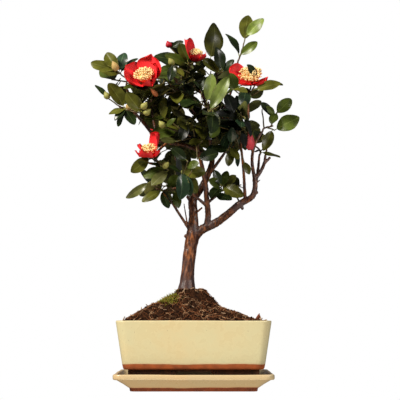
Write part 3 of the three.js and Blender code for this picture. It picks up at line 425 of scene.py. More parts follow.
def mound_spots(chance, count):
    """Chance places on the mound, each with the way that the surface faces there."""
    spots = []
    half_x, half_y = SPOTS["half"]
    while len(spots) < count:
        start = Vector((chance.uniform(-half_x, half_x), chance.uniform(-half_y, half_y), SPOTS["from"]))
        place, facing, _, _ = mound_tree.ray_cast(start, Vector((0, 0, -1)))
        if place:
            spots.append((place, facing))
    return spots


def fibre(chance, place, facing):
    """A rootlet that creeps over the mound and lifts off it here and there."""
    heading = Vector((chance.normal(), chance.normal(), chance.normal() - 0.5)).cross(facing).normalized()
    points = []
    for _ in range(chance.integers(4, 8)):
        points.append(np.array(place + facing * chance.uniform(0.1, 1.9)))
        heading = (heading + Vector(chance.normal(size=3)) * 0.35).normalized()
        place, facing, _, _ = mound_tree.find_nearest(place + heading * chance.uniform(2.0, 4.5))
    width = chance.uniform(0.22, 0.6)
    return tube(points, np.linspace(width, width * 0.4, len(points)), 3)


def moss_blade(chance, place, facing):
    """One short pointed leaf of the moss."""
    foot = np.array(place)
    along = np.array(facing) + chance.normal(size=3) * 0.45
    tip = foot + along * chance.uniform(1.6, 4.2)
    middle = (foot + tip) / 2 + chance.normal(size=3) * 0.2
    return tube([foot, middle, tip], [0.45, 0.55, 0.08], 3)


def crumb(chance, place, facing, size, flat):
    """A rough pebble, pressed flat or drawn out along the way that it faces."""
    heights = np.array([-0.9, -0.45, 0.1, 0.6, 0.95])
    points = [np.array(place) + np.array(facing) * height * size * flat for height in heights]
    return rough_tube(chance, points, np.sqrt(1 - heights ** 2), size, 7, 0.13)


def sliver(chance, start, end, width):
    """A splinter of bark: broad in its middle, rough along its edges and pointed at its end."""
    points = [start + (end - start) * share for share in (0, 0.15, 0.5, 0.8, 1)]
    return rough_tube(chance, points, (0.4, 0.9, 1, 0.7, 0.1), width, 5, 0.15)


def bark_slivers(chance):
    """Slivers on the mound, most of them near the wall."""
    slivers = []
    for place, facing in mound_spots(chance, SLIVERS):
        if abs(place.x) > SLIVER_EDGE * SOIL_SIZE[0] / 2 or chance.uniform() < 0.3:
            flat = Vector(chance.normal(size=3)).cross(facing).normalized()
            along = flat + facing * chance.uniform(0.1, 0.7)
            start = np.array(place + facing * 0.5)
            end = start + along * chance.uniform(4, 9)
            slivers.append(sliver(chance, start, end, chance.uniform(0.5, 1.2)))
    return slivers


def moss_blades(chance):
    """The moss grows close in the middle of its patch and thins out at the edge."""
    blades = []
    for place, facing in mound_spots(chance, MOSS_TRIES):
        away = np.linalg.norm((np.array(place) - MOSS_MIDDLE) / MOSS_REACH)
        if away + chance.normal() * MOSS_EDGE["chance"] < MOSS_EDGE["at"]:
            blades.append(moss_blade(chance, place, facing))
    return blades


def earthy_group():
    """Two earth colours mixed by a fine grain, with a rough height."""
    tree, given, place = start_group("earthy_grain", ("Dark", "Light"), ("Scale",))
    grain = clouds(tree, place, given["Scale"], 5)
    colour = mixed(tree, ranged(tree, grain, 0.35, 0.68), given["Dark"], given["Light"])
    return finish_group(tree, Color=colour, Height=grain)


def grained(colour, dim, scale):
    """A colour, and a share of it for its darker grain."""
    return {"Dark": tuple(value * dim for value in colour), "Light": colour, "Scale": scale}


def earthy(name, grain, roughness=0.95):
    return coated(name, EARTHY, grain, roughness=roughness, **EARTH_FINISH)


def soil_piece(name, parts, look):
    add_piece(name, *gathered(parts), [look], "soil", ["soil"])


EARTHY = earthy_group()
peat = earthy("peat", PEAT)
mound = mound_mesh()
soil_piece("peat_mound", [mound], peat)
mound_tree = BVHTree.FromPolygons([Vector(point) for point in mound[0]], mound[1])
for order, (name, count, colour) in enumerate(FIBRES):
    chance = np.random.default_rng(40 + order)
    spots = [spot for spot in mound_spots(chance, count) if noise.noise(spot[0] / CLUMP) > 0]
    soil_piece(name, [fibre(chance, *spot) for spot in spots], earthy(name, grained(colour, 0.6, 300)))
chance = np.random.default_rng(51)
crumbs = [crumb(chance, *spot, chance.uniform(0.8, 2.6), 0.7) for spot in mound_spots(chance, CRUMBS)]
soil_piece("peat_crumbs", crumbs, peat)
soil_piece("bark_slivers", bark_slivers(chance), earthy("bark_sliver", grained(SLIVER_COLOUR, 0.5, 220)))
soil_piece("bark_chip", [sliver(chance, *CHIP)], earthy("bark_chip", grained(CHIP_COLOUR, 0.4, 220)))
for order, colour in enumerate(MOSS_COLOURS):
    moss = moss_blades(np.random.default_rng(60 + order))
    soil_piece(f"moss_{order}", moss, earthy(f"moss_{order}", grained(colour, 0.55, 250), 0.8))

# Trunk and boughs
# One old stem that flares at the ground, forks low down and ends in thin boughs. Its bark is smooth
# and red-brown, drawn out along the limbs in shallow ridges, with knots and cuts left by pruning.
# Each limb by its bends, with its radius at each
LIMBS = {
    "trunk": [(-12.5, 0, 165, 15.6), (-11.5, 0, 182, 12.2), (-10, 0, 200, 11.2), (-6.5, 0, 233, 10.9),
              (-1, 0, 262, 12)],
    "leader": [(-3, 0, 250, 9.5), (-1, 2, 293, 7.8), (-2, 4, 319, 7.6), (10, 6, 336, 6.2), (21, 6, 357, 5.6),
               (31, 5, 386, 4.8), (27, 3, 412, 4), (32, 6, 455, 3), (36, 6, 496, 2.2)],
    "leader_stub": [(-1, 4, 312, 5), (-11, 0, 326, 3.8)],
    "bough_right": [(-2, 0, 252, 9), (12, -1, 267, 8), (37, -3, 279, 7.2), (59, -6, 295, 6.6),
                    (78, -9, 311, 6.2), (95, -10, 320, 5.2)],
    "bough_right_rise": [(95, -10, 320, 5.2), (101, -10, 327, 5), (104, -11, 341, 4.4), (103, -11, 356, 3.8)],
    "bough_right_inner": [(103, -11, 354, 3.4), (99, -14, 380, 2.8), (100, -16, 399, 2.6),
                          (106, -14, 417, 2.4), (116, -9, 434, 2)],
    "bough_right_outer": [(103, -11, 351, 3.6), (113, -6, 366, 3), (120, 0, 381, 2.8), (123, 4, 398, 2)],
    "outer_stub": [(119, 0, 380, 2.6), (131, 6, 393, 2.2)],
    "bough_right_top": [(100, -16, 399, 2.4), (92, -22, 434, 2.2), (93, -25, 482, 1.8)],
    "bough_upright": [(87, -9, 316, 3), (84, -22, 365, 2.5), (79, -30, 412, 2)],
    "bough_middle": [(22, -2, 273, 5.8), (24, -6, 292, 5.2), (22, -10, 314, 4.8), (20, -16, 339, 4.4),
                     (15, -24, 367, 3.8), (8, -34, 396, 3)],
    "bough_low_middle": [(22, -10, 308, 2.4), (6, -20, 320, 2.2), (-8, -30, 328, 1.9)],
    "bough_low_right": [(22, -10, 312, 2.6), (36, 0, 324, 2.2), (42, 4, 330, 1.9)],
    "bough_left": [(30, 5, 394, 3.8), (-15, -20, 410, 3.4), (-57, -30, 417, 3.1), (-86, -36, 447, 2.8),
                   (-106, -42, 472, 2.5), (-111, -48, 494, 2)],
    "bough_upper_left": [(-57, -30, 417, 2.6), (-68, -16, 446, 2.2), (-72, -6, 470, 1.9)],
    "bough_left_mid": [(-98, -40, 462, 2.3), (-104, -44, 462, 2), (-111, -48, 463, 1.8)],
    "bough_left_low": [(-44, -27, 414, 2.4), (-56, -38, 402, 2.2), (-64, -46, 391, 1.9)],
    "bough_lower_left": [(-4, 0, 262, 3), (-16, -6, 280, 2.5), (-39, -20, 315, 2.2), (-48, -25, 326, 1.9)],
    "bough_front": [(28, 3, 408, 3), (26, -36, 427, 2.5), (24, -62, 446, 2)],
    "bough_upper_middle": [(28, 4, 422, 2.8), (8, -12, 455, 2.4), (-10, -28, 479, 1.9)],
    "bough_top": [(33, 6, 462, 2.4), (16, 0, 496, 2.2), (4, -7, 526, 1.8)],
    "bough_top_right": [(31, 6, 446, 2.6), (58, 10, 490, 2.3), (73, 5, 548, 1.8)],
    "bough_back_left": [(-2, 4, 308, 3.6), (-18, 40, 360, 2.8), (-30, 58, 392, 2)],
    "bough_back_right": [(21, 6, 357, 3.4), (46, 46, 396, 2.6), (60, 62, 418, 2)],
    "bough_back_top": [(29, 4, 430, 2.8), (24, 34, 474, 2.3), (18, 50, 498, 1.9)],
    "bough_back_low": [(-13, 30, 344, 2.4), (-24, 48, 344, 2.1), (-34, 60, 346, 1.9)],
    "bough_back_side": [(104, -11, 340, 3), (111, 20, 376, 2.5), (114, 40, 400, 2)],
}
STUBS = ("leader_stub", "outer_stub")
# The swelling at the fork, then short spurs and knots, each by its two ends
SPURS = [
    [(-2, 0, 254, 11.8), (-1, 1.5, 290, 7.6)], [(100, -12, 326, 4.2), (108, -16, 331, 2.6)],
    [(103, -12, 345, 2.4), (113, -13, 352, 0.7)], [(-8, -2, 252, 4.4), (-16, -5, 258, 2.4)],
    [(80, -11, 308, 4), (83, -13, 301, 2.2)], [(-7, -3, 256, 1.9), (-14, -6, 292, 1.3)],
    [(-14, -6, 292, 1.3), (-17, -8, 312, 0.9)], [(0, -3, 293, 2), (14, -8, 305, 1.5)],
    [(22, -10, 306, 1.9), (2, -14, 322, 1.2)],
]
VOXEL = 0.8
SKIN_SMOOTHING = {"factor": 0.5, "iterations": 3}
LIMB_STEP = 2
LIMB_SIDES = 14
BARK_FINISH = {"shine": 0.4, "bump": (0.45, 0.0007), "roughness": 0.42}
BARK_COLOURS = {"Dark": (0.036, 0.009, 0.003), "Light": (0.38, 0.130, 0.042), "Grey": (0.085, 0.057, 0.057)}
# Below these heights the bark colour turns towards a darker grey, towards the ground
GREYING_HEIGHTS = {"low": 0.165, "high": 0.225, "share": 0.75}
BARK_LOW_GREY = (0.045, 0.026, 0.026)
CUT_WOOD = (0.42, 0.17, 0.045)
CUT_PLACE = (0.0225, -0.001, 0.408)
CUT_EDGE = (0.0105, 0.0125)


def vector(values):
    return np.array(values, float)


def curve_point(bends, share):
    """A point of the smooth curve through the bends, as far along as the share of its spans."""
    bends = vector(bends)
    bends = np.vstack([2 * bends[0] - bends[1], bends, 2 * bends[-1] - bends[-2]])
    place = share * (len(bends) - 3)
    index = min(int(place), len(bends) - 4)
    weight = place - index
    before, start, end, after = bends[index:index + 4]
    leave, arrive = (end - before) / 2, (after - start) / 2
    square = 3 * (end - start) - 2 * leave - arrive
    cube = 2 * (start - end) + leave + arrive
    return start + leave * weight + square * weight ** 2 + cube * weight ** 3


def curve_points(bends, count):
    return np.array([curve_point(bends, share) for share in np.linspace(0, 1, count)])


def limb_line(limb, step):
    """Points along a limb, a step apart, and its radius at each."""
    bends, radii = vector(limb)[:, :3], vector(limb)[:, 3]
    length = np.linalg.norm(np.diff(curve_points(bends, 201), axis=0), axis=1).sum()
    count = math.ceil(length / step) + 1
    spans = np.linspace(0, 1, count) * (len(radii) - 1)
    return curve_points(bends, count), np.interp(spans, np.arange(len(radii)), radii)


def fused(points, faces):
    """The outer skin of overlapping tubes as one even mesh, smoothed where they meet."""
    mesh = bpy.data.meshes.new("fused_tubes")
    mesh.from_pydata(points.tolist(), [], faces)
    tubes = bpy.data.objects.new("fused_tubes", mesh)
    bpy.context.scene.collection.objects.link(tubes)
    skin = tubes.modifiers.new("skin", "REMESH")
    skin.mode = "VOXEL"
    skin.voxel_size = VOXEL
    smooth = tubes.modifiers.new("smooth", "SMOOTH")
    smooth.factor = SKIN_SMOOTHING["factor"]
    smooth.iterations = SKIN_SMOOTHING["iterations"]
    whole = bpy.data.meshes.new_from_object(tubes.evaluated_get(bpy.context.evaluated_depsgraph_get()))
    bpy.data.objects.remove(tubes)
    return whole


def bark_relief(point, heading, radius):
    """The height of the bark at a point: ridges drawn out along the limb, and a fine grain."""
    across = point - heading * (point.dot(heading) * 0.82)
    ridges = noise.noise(across / (radius * 0.6 + 1.5)) * (0.25 + radius * 0.06)
    return ridges + noise.noise(across / 1.7) * 0.22


def bark_mesh():
    """All the limbs as one skin with the bark's relief."""
    lines = [limb_line(limb, LIMB_STEP) for limb in LIMBS.values()]
    lines += [(vector(spur)[:, :3], vector(spur)[:, 3]) for spur in SPURS]
    skin = fused(*gathered([tube(points, radii, LIMB_SIDES) for points, radii in lines]))
    limbs = KDTree(sum(len(points) for points, _ in lines))
    courses = []
    for points, radii in lines:
        for point, heading, radius in zip(points, line_headings(points), radii):
            limbs.insert(point, len(courses))
            courses.append((Vector(heading), radius))
    limbs.balance()
    points = []
    for vertex in skin.vertices:
        heading, radius = courses[limbs.find(vertex.co)[1]]
        points.append(vertex.co + vertex.normal * bark_relief(vertex.co, heading, radius))
    return points, [tuple(face.vertices) for face in skin.polygons]


def bark_group():
    """Bark in three colours: streaks drawn out along the stem, over slow patches of grey."""
    tree, given, place = start_group("bark_streaks", ("Dark", "Light", "Grey"))
    drawn = node(tree, "Mapping", {"Vector": place, "Scale": (1, 1, 0.3)}).outputs[0]
    streaks = clouds(tree, drawn, 230, 4)
    flecks = clouds(tree, place, 700, 2)
    patches = clouds(tree, place, 45, 3)
    colour = mixed(tree, ranged(tree, streaks, 0.44, 0.76), given["Dark"], given["Light"])
    colour = mixed(tree, ranged(tree, patches, 0.48, 0.66, 0, 0.75), colour, given["Grey"])
    colour = mixed(tree, ranged(tree, flecks, 0.62, 0.75, 0, 0.5), colour, given["Light"])
    relief = maths(tree, "ADD", streaks, maths(tree, "MULTIPLY", flecks, 0.4))
    return finish_group(tree, Color=colour, Height=relief)


def trunk_material():
    """The old bark, greyer towards the ground, with the orange wood of a cut that shows on the leader."""
    material = coated("old_bark", BARK, BARK_COLOURS, **BARK_FINISH)
    tree = material.node_tree
    base = tree.nodes["Principled BSDF"].inputs["Base Color"]
    place = node(tree, "TexCoord").outputs["Object"]
    away = node(tree, "VectorMath", {0: place, 1: CUT_PLACE}, operation="DISTANCE").outputs["Value"]
    ragged = maths(tree, "ADD", away, maths(tree, "MULTIPLY", clouds(tree, place, 150, 3), 0.006))
    height = node(tree, "SeparateXYZ", {0: place}).outputs["Z"]
    greying = ranged(tree, height, GREYING_HEIGHTS["low"], GREYING_HEIGHTS["high"], GREYING_HEIGHTS["share"], 0)
    colour = mixed(tree, greying, base.links[0].from_socket, BARK_LOW_GREY)
    tree.links.new(mixed(tree, ranged(tree, ragged, *CUT_EDGE, 1, 0), colour, CUT_WOOD), base)
    return material


BARK = bark_group()
limb_nodes = [name for name in LIMBS if name not in STUBS]
add_piece("trunk_and_boughs", *bark_mesh(), [trunk_material()], "bark", limb_nodes)

# Twigs
# Young wood that runs on from the tip of each bough into a space of its own: a stem with shoots, which
# bear finer twigs within the same reach. Their bark is thin, brown on the stems and green on the rest.
UP = np.array([0.0, 0.0, 1.0])
RIGHT = np.array([1.0, 0.0, 0.0])
CROWN_MIDDLE = np.array([10.0, 0.0, 430.0])
SAMPLE_STEP = 5
STEM = {"gap": 0.3, "knee": 0.4, "radius": 1.9}
TWIG_RADIUS = 1.4
TWIG_SAMPLES = 8
LEAD_ROOT = {"first": 0.85, "step": 0.2}
LEAD_LEAVES = 0.5
SHOOT_HEIGHT = {"top": 0.92, "fall": 1.5}
SHOOT_ROOT = {"low": 0.4, "span": 0.55, "step": 0.618}
SHOOT_REACH = {"least": 0.416, "chance": 0.156}
SHOOT_TURN = {"step": math.radians(137.5), "chance": 0.8}
SPRIG_PLACES = (0.35, 0.6, 0.85)
SPRIG_LENGTH = {"least": 18, "chance": 12}
SPRIG_SPREAD = math.radians(58)
SPRIG_RADIUS = 0.9
LEAF_PLACE = {"low": 0.3, "span": 0.69}
LEAF_LENGTH = 49
LEAF_WIDTH = 0.52
LEAF_FOLD = 0.07
LEAF_CURL = 0.09
LEAF_SPREAD = {"foot": 80, "tip": 26}
LEAF_TURN = math.radians(144)
LEAF_DROOP = 0.25
LEAF_TRIES = 5
NEXT_TRY = 0.9
# How far things keep from limbs, leaves, twigs and other masses, and how far they reach in their space
LEAD_ROOM = {"limb": 3, "leaf": 0.8, "twig": 0.8, "mass": 5, "reach": 1.05}
SHOOT_ROOM = {"limb": 3.4, "twig": 4.5, "mass": 7}
SHOOT_LEAF_ROOM = {"limb": 6, "leaf": 7.5, "twig": 4.5, "mass": 7, "reach": 1.05}
SPRIG_ROOM = {"limb": 4, "leaf": 4.5, "twig": 2.5, "mass": 4.5, "reach": 0.95}
# The leaves of a twig: how many there are, how long they can be and the room that they keep
TWIG_LEAVES = {"shoot": ({"count": 5, "least": 0.78, "chance": 0.44}, SHOOT_LEAF_ROOM),
               "sprig": ({"count": 4, "least": 0.62, "chance": 0.4}, SPRIG_ROOM)}
# The radius and the length of each kind of bud, and the rims that stand for a flower
BUD_SIZES = {"bud": (5, 14), "peach": (5.6, 18), "slim": (3.4, 18), "red": (5, 12), "pink": (7, 32)}
FLOWER_RIMS = ((28, 15), (17, 7))
SHOWN_ROOM = 8
SHOWN_DEPTH = 30
EYE = np.array([10.2, -1900, 119.6])
# Gaps where the photograph shows the sky through the crown: how far across and up, and how wide
SKY = [
    (29, 555, 3), (4, 506, 4), (53, 497, 5), (-9, 469, 2), (108, 464, 7), (115, 466, 5), (121, 464, 8),
    (131, 452, 5), (115, 412, 7), (91, 348, 9), (90, 385, 5), (45, 379, 8), (-70, 370, 5), (-58, 403, 3),
    (-51, 342, 3), (-67, 541, 3), (-124, 477, 3), (135, 537, 9), (130, 497, 10), (-81, 428, 6),
    (-86, 583, 9), (-172, 486, 14), (-72, 310, 8), (154, 509, 6), (-57, 584, 5), (-88, 350, 5),
    (-175, 533, 6),
]
SKY_ROOM = 3
# The ways that leaves of leads face: to the viewer, to the sky, to the right or to the far side
FACINGS = {"front": (0.1, -1, 0.35), "up": (0, -0.75, 0.8), "right": (0.8, -0.6, 0.3), "far": (0, 0.6, 0.8)}
ROUND = [(5, 1, 1), (62, 0.95, 1), (128, 1.05, 1), (185, 1, 1), (243, 0.95, 1), (301, 1, 1)]
STEM_COLOURS = {"Dark": (0.07, 0.028, 0.014), "Light": (0.19, 0.09, 0.04), "Grey": (0.10, 0.07, 0.06)}
TWIG_COLOURS = {"Dark": (0.06, 0.045, 0.014), "Light": (0.17, 0.11, 0.035), "Grey": (0.09, 0.085, 0.03)}


def seeded_stream(seed):
    """Numbers between 0 and 1, the same on every run."""
    state = seed
    while True:
        state = state * 48271 % 2147483647
        yield state / 2147483647


def unit(values):
    return values / np.linalg.norm(values)


def bloom(axis, size, spread, *petals):
    """An open flower: the way it looks, and the clock angle, the size and the lift of each petal."""
    return {"axis": unit(vector(axis)), "size": size, "open": spread, "petals": petals}


def new_mass(name, carrier, seed, shoots, tints, middle, radii, *leads):
    """A mass of foliage as it is planned, and what has grown in it so far."""
    return {"name": name, "carrier": carrier, "seed": seed, "random": seeded_stream(seed), "shoots": shoots,
            "tints": tints.split(), "middle": vector(middle), "radii": vector(radii), "leads": leads,
            "twigs": {"stem": [], "lead": [], "shoot": [], "sprig": []}, "leaves": [], "buds": [],
            "flowers": [], "stalks": np.empty((0, 3)), "blades": np.empty((0, 3))}


# Masses of foliage by the bough that carries each, a seed, the number of shoots, the tints of the leaves
# and the ellipsoid that the mass keeps to. Then come its leads, the shoots that the photograph shows: the
# tip of each, what ends it, and the tips that its leaves aim at from its tip down, with the tint of each
# leaf, the way it faces if not to the front, and its width over its length if it isn't usual.
# Tints named shade give near-black leaves, painted shade for the inside of the crown
MASSES = [
    new_mass(
        "left_high", "bough_left", 101, 2, "dark mid olive", (-112, -55, 522), (66, 64, 58),
        ((-129, -63, 530), "peach", (-173, -60, 544, "olive up"), (-149, -56, 563, "olive"),
         (-120, -46, 567, "bluish"), (-99, -44, 561, "dark up", 0.4), (-157, -72, 529, "olive", 0.45)),
        ((-80, -60, 509), bloom((-0.16, -0.66, 0.73), 1.12, 0.92, (158, 1.35, 1.25), (200, 1.1, 0.9),
                                (56, 1.4, 1.6), (22, 1.1, 1.5), (300, 0.7, 0.6))),
        ((-93, -64, 503), "none", (-116, -76, 500, "mid up"), (-75, -74, 494, "dark up"))),
    new_mass(
        "left_mid", "bough_left_mid", 223, 3, "dark mid olive", (-126, -52, 472), (60, 58, 54),
        ((-112, -54, 467), "peach", (-143, -58, 462, "olive up"), (-133, -62, 448, "dark up"),
         (-131, -46, 439, "dark up", 0.4), (-141, -64, 509, "olive"), (-98, -62, 440, "dark")),
        ((-82, -62, 456), "bud", (-112, -76, 489, "olive")),
        ((-86, -66, 465), "bud"),
        ((-144, -50, 485), "bud", (-166, -44, 512, "dark up", 0.28))),
    new_mass("upper_left", "bough_upper_left", 163, 7, "dark mid olive", (-72, 8, 500), (66, 70, 66)),
    new_mass(
        "left_low", "bough_left_low", 307, 2, "dark mid", (-76, -58, 380), (52, 56, 54),
        ((-73, -58, 386), bloom((-0.06, -0.5, 0.86), 0.85, 0.95, (188, 1.1, 1.5), (228, 1, 0.7),
                                (288, 0.95, 0.6), (20, 1.35, 2.2), (335, 0.8, 0.9)),
         (-102, -66, 358, "olive")),
        ((-42, -56, 362), "none", (-70, -68, 338, "grey"), (-84, -60, 352, "mid"),
         (-93, -66, 377, "dark up")),
        ((-50, -66, 367), "bud")),
    new_mass(
        "lower_left", "bough_lower_left", 401, 1, "mid olive dark", (-64, -36, 334), (62, 58, 46),
        ((-74, -38, 346), "none", (-112, -44, 317, "grey", 0.31)),
        ((-53, -36, 331), "none", (-87, -44, 313, "olive", 0.42), (-43, -44, 302, "dark"),
         (-38, -46, 312, "brown right", 0.4), (-70, -26, 321, "dark up")),
        ((-32, -30, 332), "none", (-25, -34, 302, "mid"))),
    new_mass(
        "low_middle", "bough_low_middle", 503, 5, "dark bluish", (-22, -60, 354), (56, 56, 58),
        ((-20, -66, 360), "none", (-18, -76, 313, "bluish"), (-6, -64, 318, "bluish"),
         (-38, -76, 369, "dark up"), (8, -56, 326, "olive", 0.6), (19, -60, 362, "olive", 0.6)),
        ((-10, -68, 377), "none", (-36, -76, 397, "dark"), (6, -80, 372, "mid", 0.6))),
    new_mass(
        "middle", "bough_middle", 601, 8, "shade olive mid", (-20, -60, 428), (72, 62, 72),
        ((-50, -62, 434), "bud", (-31, -76, 447, "mid", 0.4)),
        ((-29, -60, 410), "none", (-54, -80, 411, "grey", 0.4)),
        ((6, -62, 380), "none", (40, -70, 390, "dark", 0.58)),
        ((14, -62, 411), "none", (-8, -72, 406, "olive"))),
    new_mass(
        "upper_middle", "bough_upper_middle", 709, 9, "shade mid olive", (-30, -48, 503), (70, 64, 62),
        ((-61, -70, 486), "slim")),
    new_mass(
        "top", "bough_top", 809, 5, "mid olive dark", (-14, -14, 556), (64, 64, 56),
        ((3, -26, 554), bloom((0.05, -0.45, 0.9), 0.9, 0.75, (165, 1.5, 1.6), (262, 0.7, 0.9),
                              (302, 0.85, 0.9), (342, 0.85, 0.9), (20, 0.6, 0.8))),
        ((-42, -14, 582), "red", (-20, -22, 591, "dark")),
        ((-10, -20, 554), "none", (-24, -30, 585, "mid"), (-66, -36, 564, "dark", 0.45),
         (-46, -34, 568, "mid", 0.45)),
        ((-36, -40, 545), "bud", (-40, -52, 516, "dark", 0.5), (-18, -52, 523, "olive", 0.4),
         (-62, -46, 530, "mid", 0.5))),
    new_mass(
        "crest", "leader", 907, 0, "olive dark", (40, -8, 560), (42, 46, 74),
        ((27, 8, 564), "none", (41, 0, 628, "bronze", 0.55)),
        ((49, -24, 537), "none", (38, -34, 577, "dark", 0.55), (66, -32, 556, "dark", 0.45),
         (15, -32, 557, "olive", 0.5))),
    new_mass(
        "top_right", "bough_top_right", 1009, 0, "young mid", (84, 0, 580), (58, 48, 68),
        ((89, 0, 604), "none", (119, -8, 635, "young"), (94, 10, 645, "olive")),
        ((79, 0, 570), "none", (109, -10, 592, "fresh", 0.45), (60, 4, 614, "dark right", 0.45))),
    new_mass(
        "right_high", "bough_right_top", 1103, 1, "dark mid", (97, -24, 510), (64, 66, 56),
        ((98, -30, 517), bloom((-0.1, -0.72, 0.7), 1.08, 1.1, (165, 1.3, 1.2), (228, 0.8, 0.9),
                               (272, 0.65, 1.1), (314, 0.85, 0.7), (120, 0.7, 0.8))),
        ((101, -60, 498), "none", (145, -64, 510, "olive", 0.42)),
        ((110, -44, 524), "none", (91, -60, 541, "dark")),
        ((64, -56, 500), "none", (88, -74, 493, "olive up"), (61, -64, 524, "mid", 0.6))),
    new_mass(
        "right_mid", "bough_upright", 1201, 7, "shade bluish mid", (62, -46, 438), (66, 64, 92),
        ((85, -34, 378), "none", (93, -40, 358, "olive")),
        ((57, -50, 397), "none", (31, -60, 401, "dark", 0.6), (75, -58, 382, "olive"),
         (64, -66, 430, "bluish")),
        ((62, -46, 396), "none", (57, -54, 370, "olive")),
        ((94, -50, 398), "pink")),
    new_mass(
        "right", "bough_right_inner", 1301, 0, "young mid", (136, -6, 446), (52, 50, 60),
        ((142, -8, 469), "none", (131, -24, 450, "mid", 0.6), (167, -8, 493, "fresh", 0.6),
         (125, -10, 480, "fresh"), (116, -2, 488, "dark up")),
        ((138, -8, 438), "none", (179, -16, 461, "fresh", 0.66), (119, -26, 403, "olive", 0.44)),
        ((117, -4, 475), "none")),
    new_mass(
        "right_low", "bough_right_outer", 1409, 0, "dark olive", (124, 2, 418), (44, 46, 46),
        ((112, -15, 399), "none", (146, -30, 391, "olive up", 0.3), (99, -2, 403, "mid up")),
        ((122, 20, 424), "bud", (106, 30, 446, "dark"))),
    new_mass(
        "low_right", "bough_low_right", 1511, 1, "olive dark", (58, 8, 342), (48, 50, 48),
        ((46, 0, 344), "none", (81, -26, 324, "olive", 0.48), (72, 0, 361, "olive")),
        ((34, -12, 326), "none", (64, -26, 319, "dark")),
        ((46, -10, 342), "none", (35, -18, 368, "dark"), (57, 0, 369, "mid"),
         (28, -26, 323, "dark", 0.6), (26, -27, 350, "mid", 0.6))),
    new_mass(
        "front", "bough_front", 1601, 3, "dark", (24, -88, 472), (56, 52, 64),
        ((21, -90, 470), "none", (31, -98, 517, "soft", 0.42)),
        ((25, -92, 454), "none", (57, -98, 512, "soft", 0.33)),
        ((54, -66, 494), "none", (67, -74, 458, "shade", 0.6))),
    new_mass(
        "back_left", "bough_back_left", 1721, 7, "mid dark", (-36, 68, 428), (68, 64, 72),
        ((-48, 96, 446), bloom((-0.3, 0.75, 0.6), 1.1, 1, *ROUND), (-76, 92, 424, "mid far"))),
    new_mass(
        "back_right", "bough_back_right", 1801, 6, "dark mid olive", (72, 70, 458), (70, 64, 68),
        ((56, 98, 466), bloom((0.3, 0.7, 0.64), 1, 0.9, *ROUND), (112, 92, 452, "mid far"))),
    new_mass(
        "back_top", "bough_back_top", 1901, 7, "mid dark", (8, 58, 528), (72, 64, 66),
        ((-24, 84, 534), bloom((-0.1, 0.6, 0.8), 1, 0.8, *ROUND), (24, 88, 536, "mid far"))),
    new_mass("back_low", "bough_back_low", 2003, 5, "dark olive", (-48, 68, 360), (58, 58, 54)),
    new_mass("back_side", "bough_back_side", 2111, 4, "mid dark", (98, 60, 430), (44, 54, 52)),
]


def cross_pair(axis):
    """Two directions square to an axis."""
    first = unit(np.cross(axis, UP if abs(axis[2]) < 0.9 else RIGHT))
    return first, np.cross(axis, first)


def turned(pair, angle):
    """The direction at an angle from the first of a pair to the second."""
    return pair[0] * math.cos(angle) + pair[1] * math.sin(angle)


def new_twig(points, radius, tint):
    return {"points": points, "radius": radius, "tint": tint}


def twig_at(twig, share):
    """A twig's place and heading at a share of the way along its straight lengths."""
    points = twig["points"]
    place = share * (len(points) - 1)
    index = min(int(place), len(points) - 2)
    run = points[index + 1] - points[index]
    return points[index] + run * (place - index), unit(run)


def twig_samples(twig):
    return np.array([twig_at(twig, index / TWIG_SAMPLES)[0] for index in range(1, TWIG_SAMPLES + 1)])


def leaf_frame(root, tip, face, tint, width=LEAF_WIDTH):
    """A leaf's place: its root on the twig, the way it points, the way it faces and its length."""
    along = unit(tip - root)
    up = unit(face - along * face.dot(along))
    return {"root": root, "along": along, "up": up, "side": np.cross(along, up),
            "length": np.linalg.norm(tip - root), "tint": tint, "width": width}


def leaf_samples(leaf):
    """The points that stand for a leaf where it is kept clear of other things."""
    samples = []
    for share in (0.3, 0.5, 0.7, 0.9, 1):
        half = leaf["width"] / 2 * leaf["length"] * math.sin(math.pi * share ** 0.85)
        for across in (-0.9, 0, 0.9):
            rise = (abs(across) * LEAF_FOLD - LEAF_CURL * share ** 2) * leaf["length"]
            place = leaf["root"] + leaf["along"] * share * leaf["length"]
            samples.append(place + leaf["side"] * across * half + leaf["up"] * rise)
    return np.array(samples)


def flower_samples(flower):
    """The points that stand for a flower where leaves are kept clear of it."""
    pair = cross_pair(flower["axis"])
    samples = []
    for radius, height in FLOWER_RIMS:
        for angle in np.arange(10) / 10 * 2 * math.pi:
            place = flower["axis"] * (height + 6) + turned(pair, angle) * radius
            samples.append(flower["root"] + place * flower["size"])
    return np.array(samples)


def start_crown():
    """What the crown holds so far: limbs with their radii, and the points each mass has taken."""
    lines = [limb_line(limb, SAMPLE_STEP) for limb in LIMBS.values()]
    return {"limbs": np.concatenate([points for points, _ in lines]),
            "widths": np.concatenate([radii for _, radii in lines]),
            "taken": np.empty((0, 3)), "owners": np.empty(0, int), "shown": np.empty((0, 3))}


def take(crown, mass, points):
    crown["taken"] = np.vstack([crown["taken"], points])
    crown["owners"] = np.append(crown["owners"], np.full(len(points), mass["seed"]))


def show(crown, points):
    """Points of what the photograph shows, which leaves out the far side of the crown."""
    if points[0][1] < SHOWN_DEPTH:
        crown["shown"] = np.vstack([crown["shown"], points])


def near(points, others, distance):
    """Whether any point is within a distance of any of the others."""
    return bool((np.linalg.norm(points[:, None] - others[None], axis=2) < distance).any())


def has_room(crown, mass, points, room):
    """Whether points are clear of the limbs and of what other masses have taken."""
    others = crown["taken"][crown["owners"] != mass["seed"]]
    return not (near(points, crown["limbs"], crown["widths"] + room["limb"])
                or near(points, others, room["mass"]))


def in_space(mass, points, reach):
    away = (points - mass["middle"]) / mass["radii"]
    return bool((np.linalg.norm(away, axis=1) < reach).all())


def hides_shown(crown, points):
    """Whether points lie between the viewer and a leaf or flower that the photograph shows."""
    away = points[:, None] - crown["shown"][None]
    nearer = away[..., 1] < 0
    return bool((nearer & (np.hypot(away[..., 0], away[..., 2]) < SHOWN_ROOM)).any())


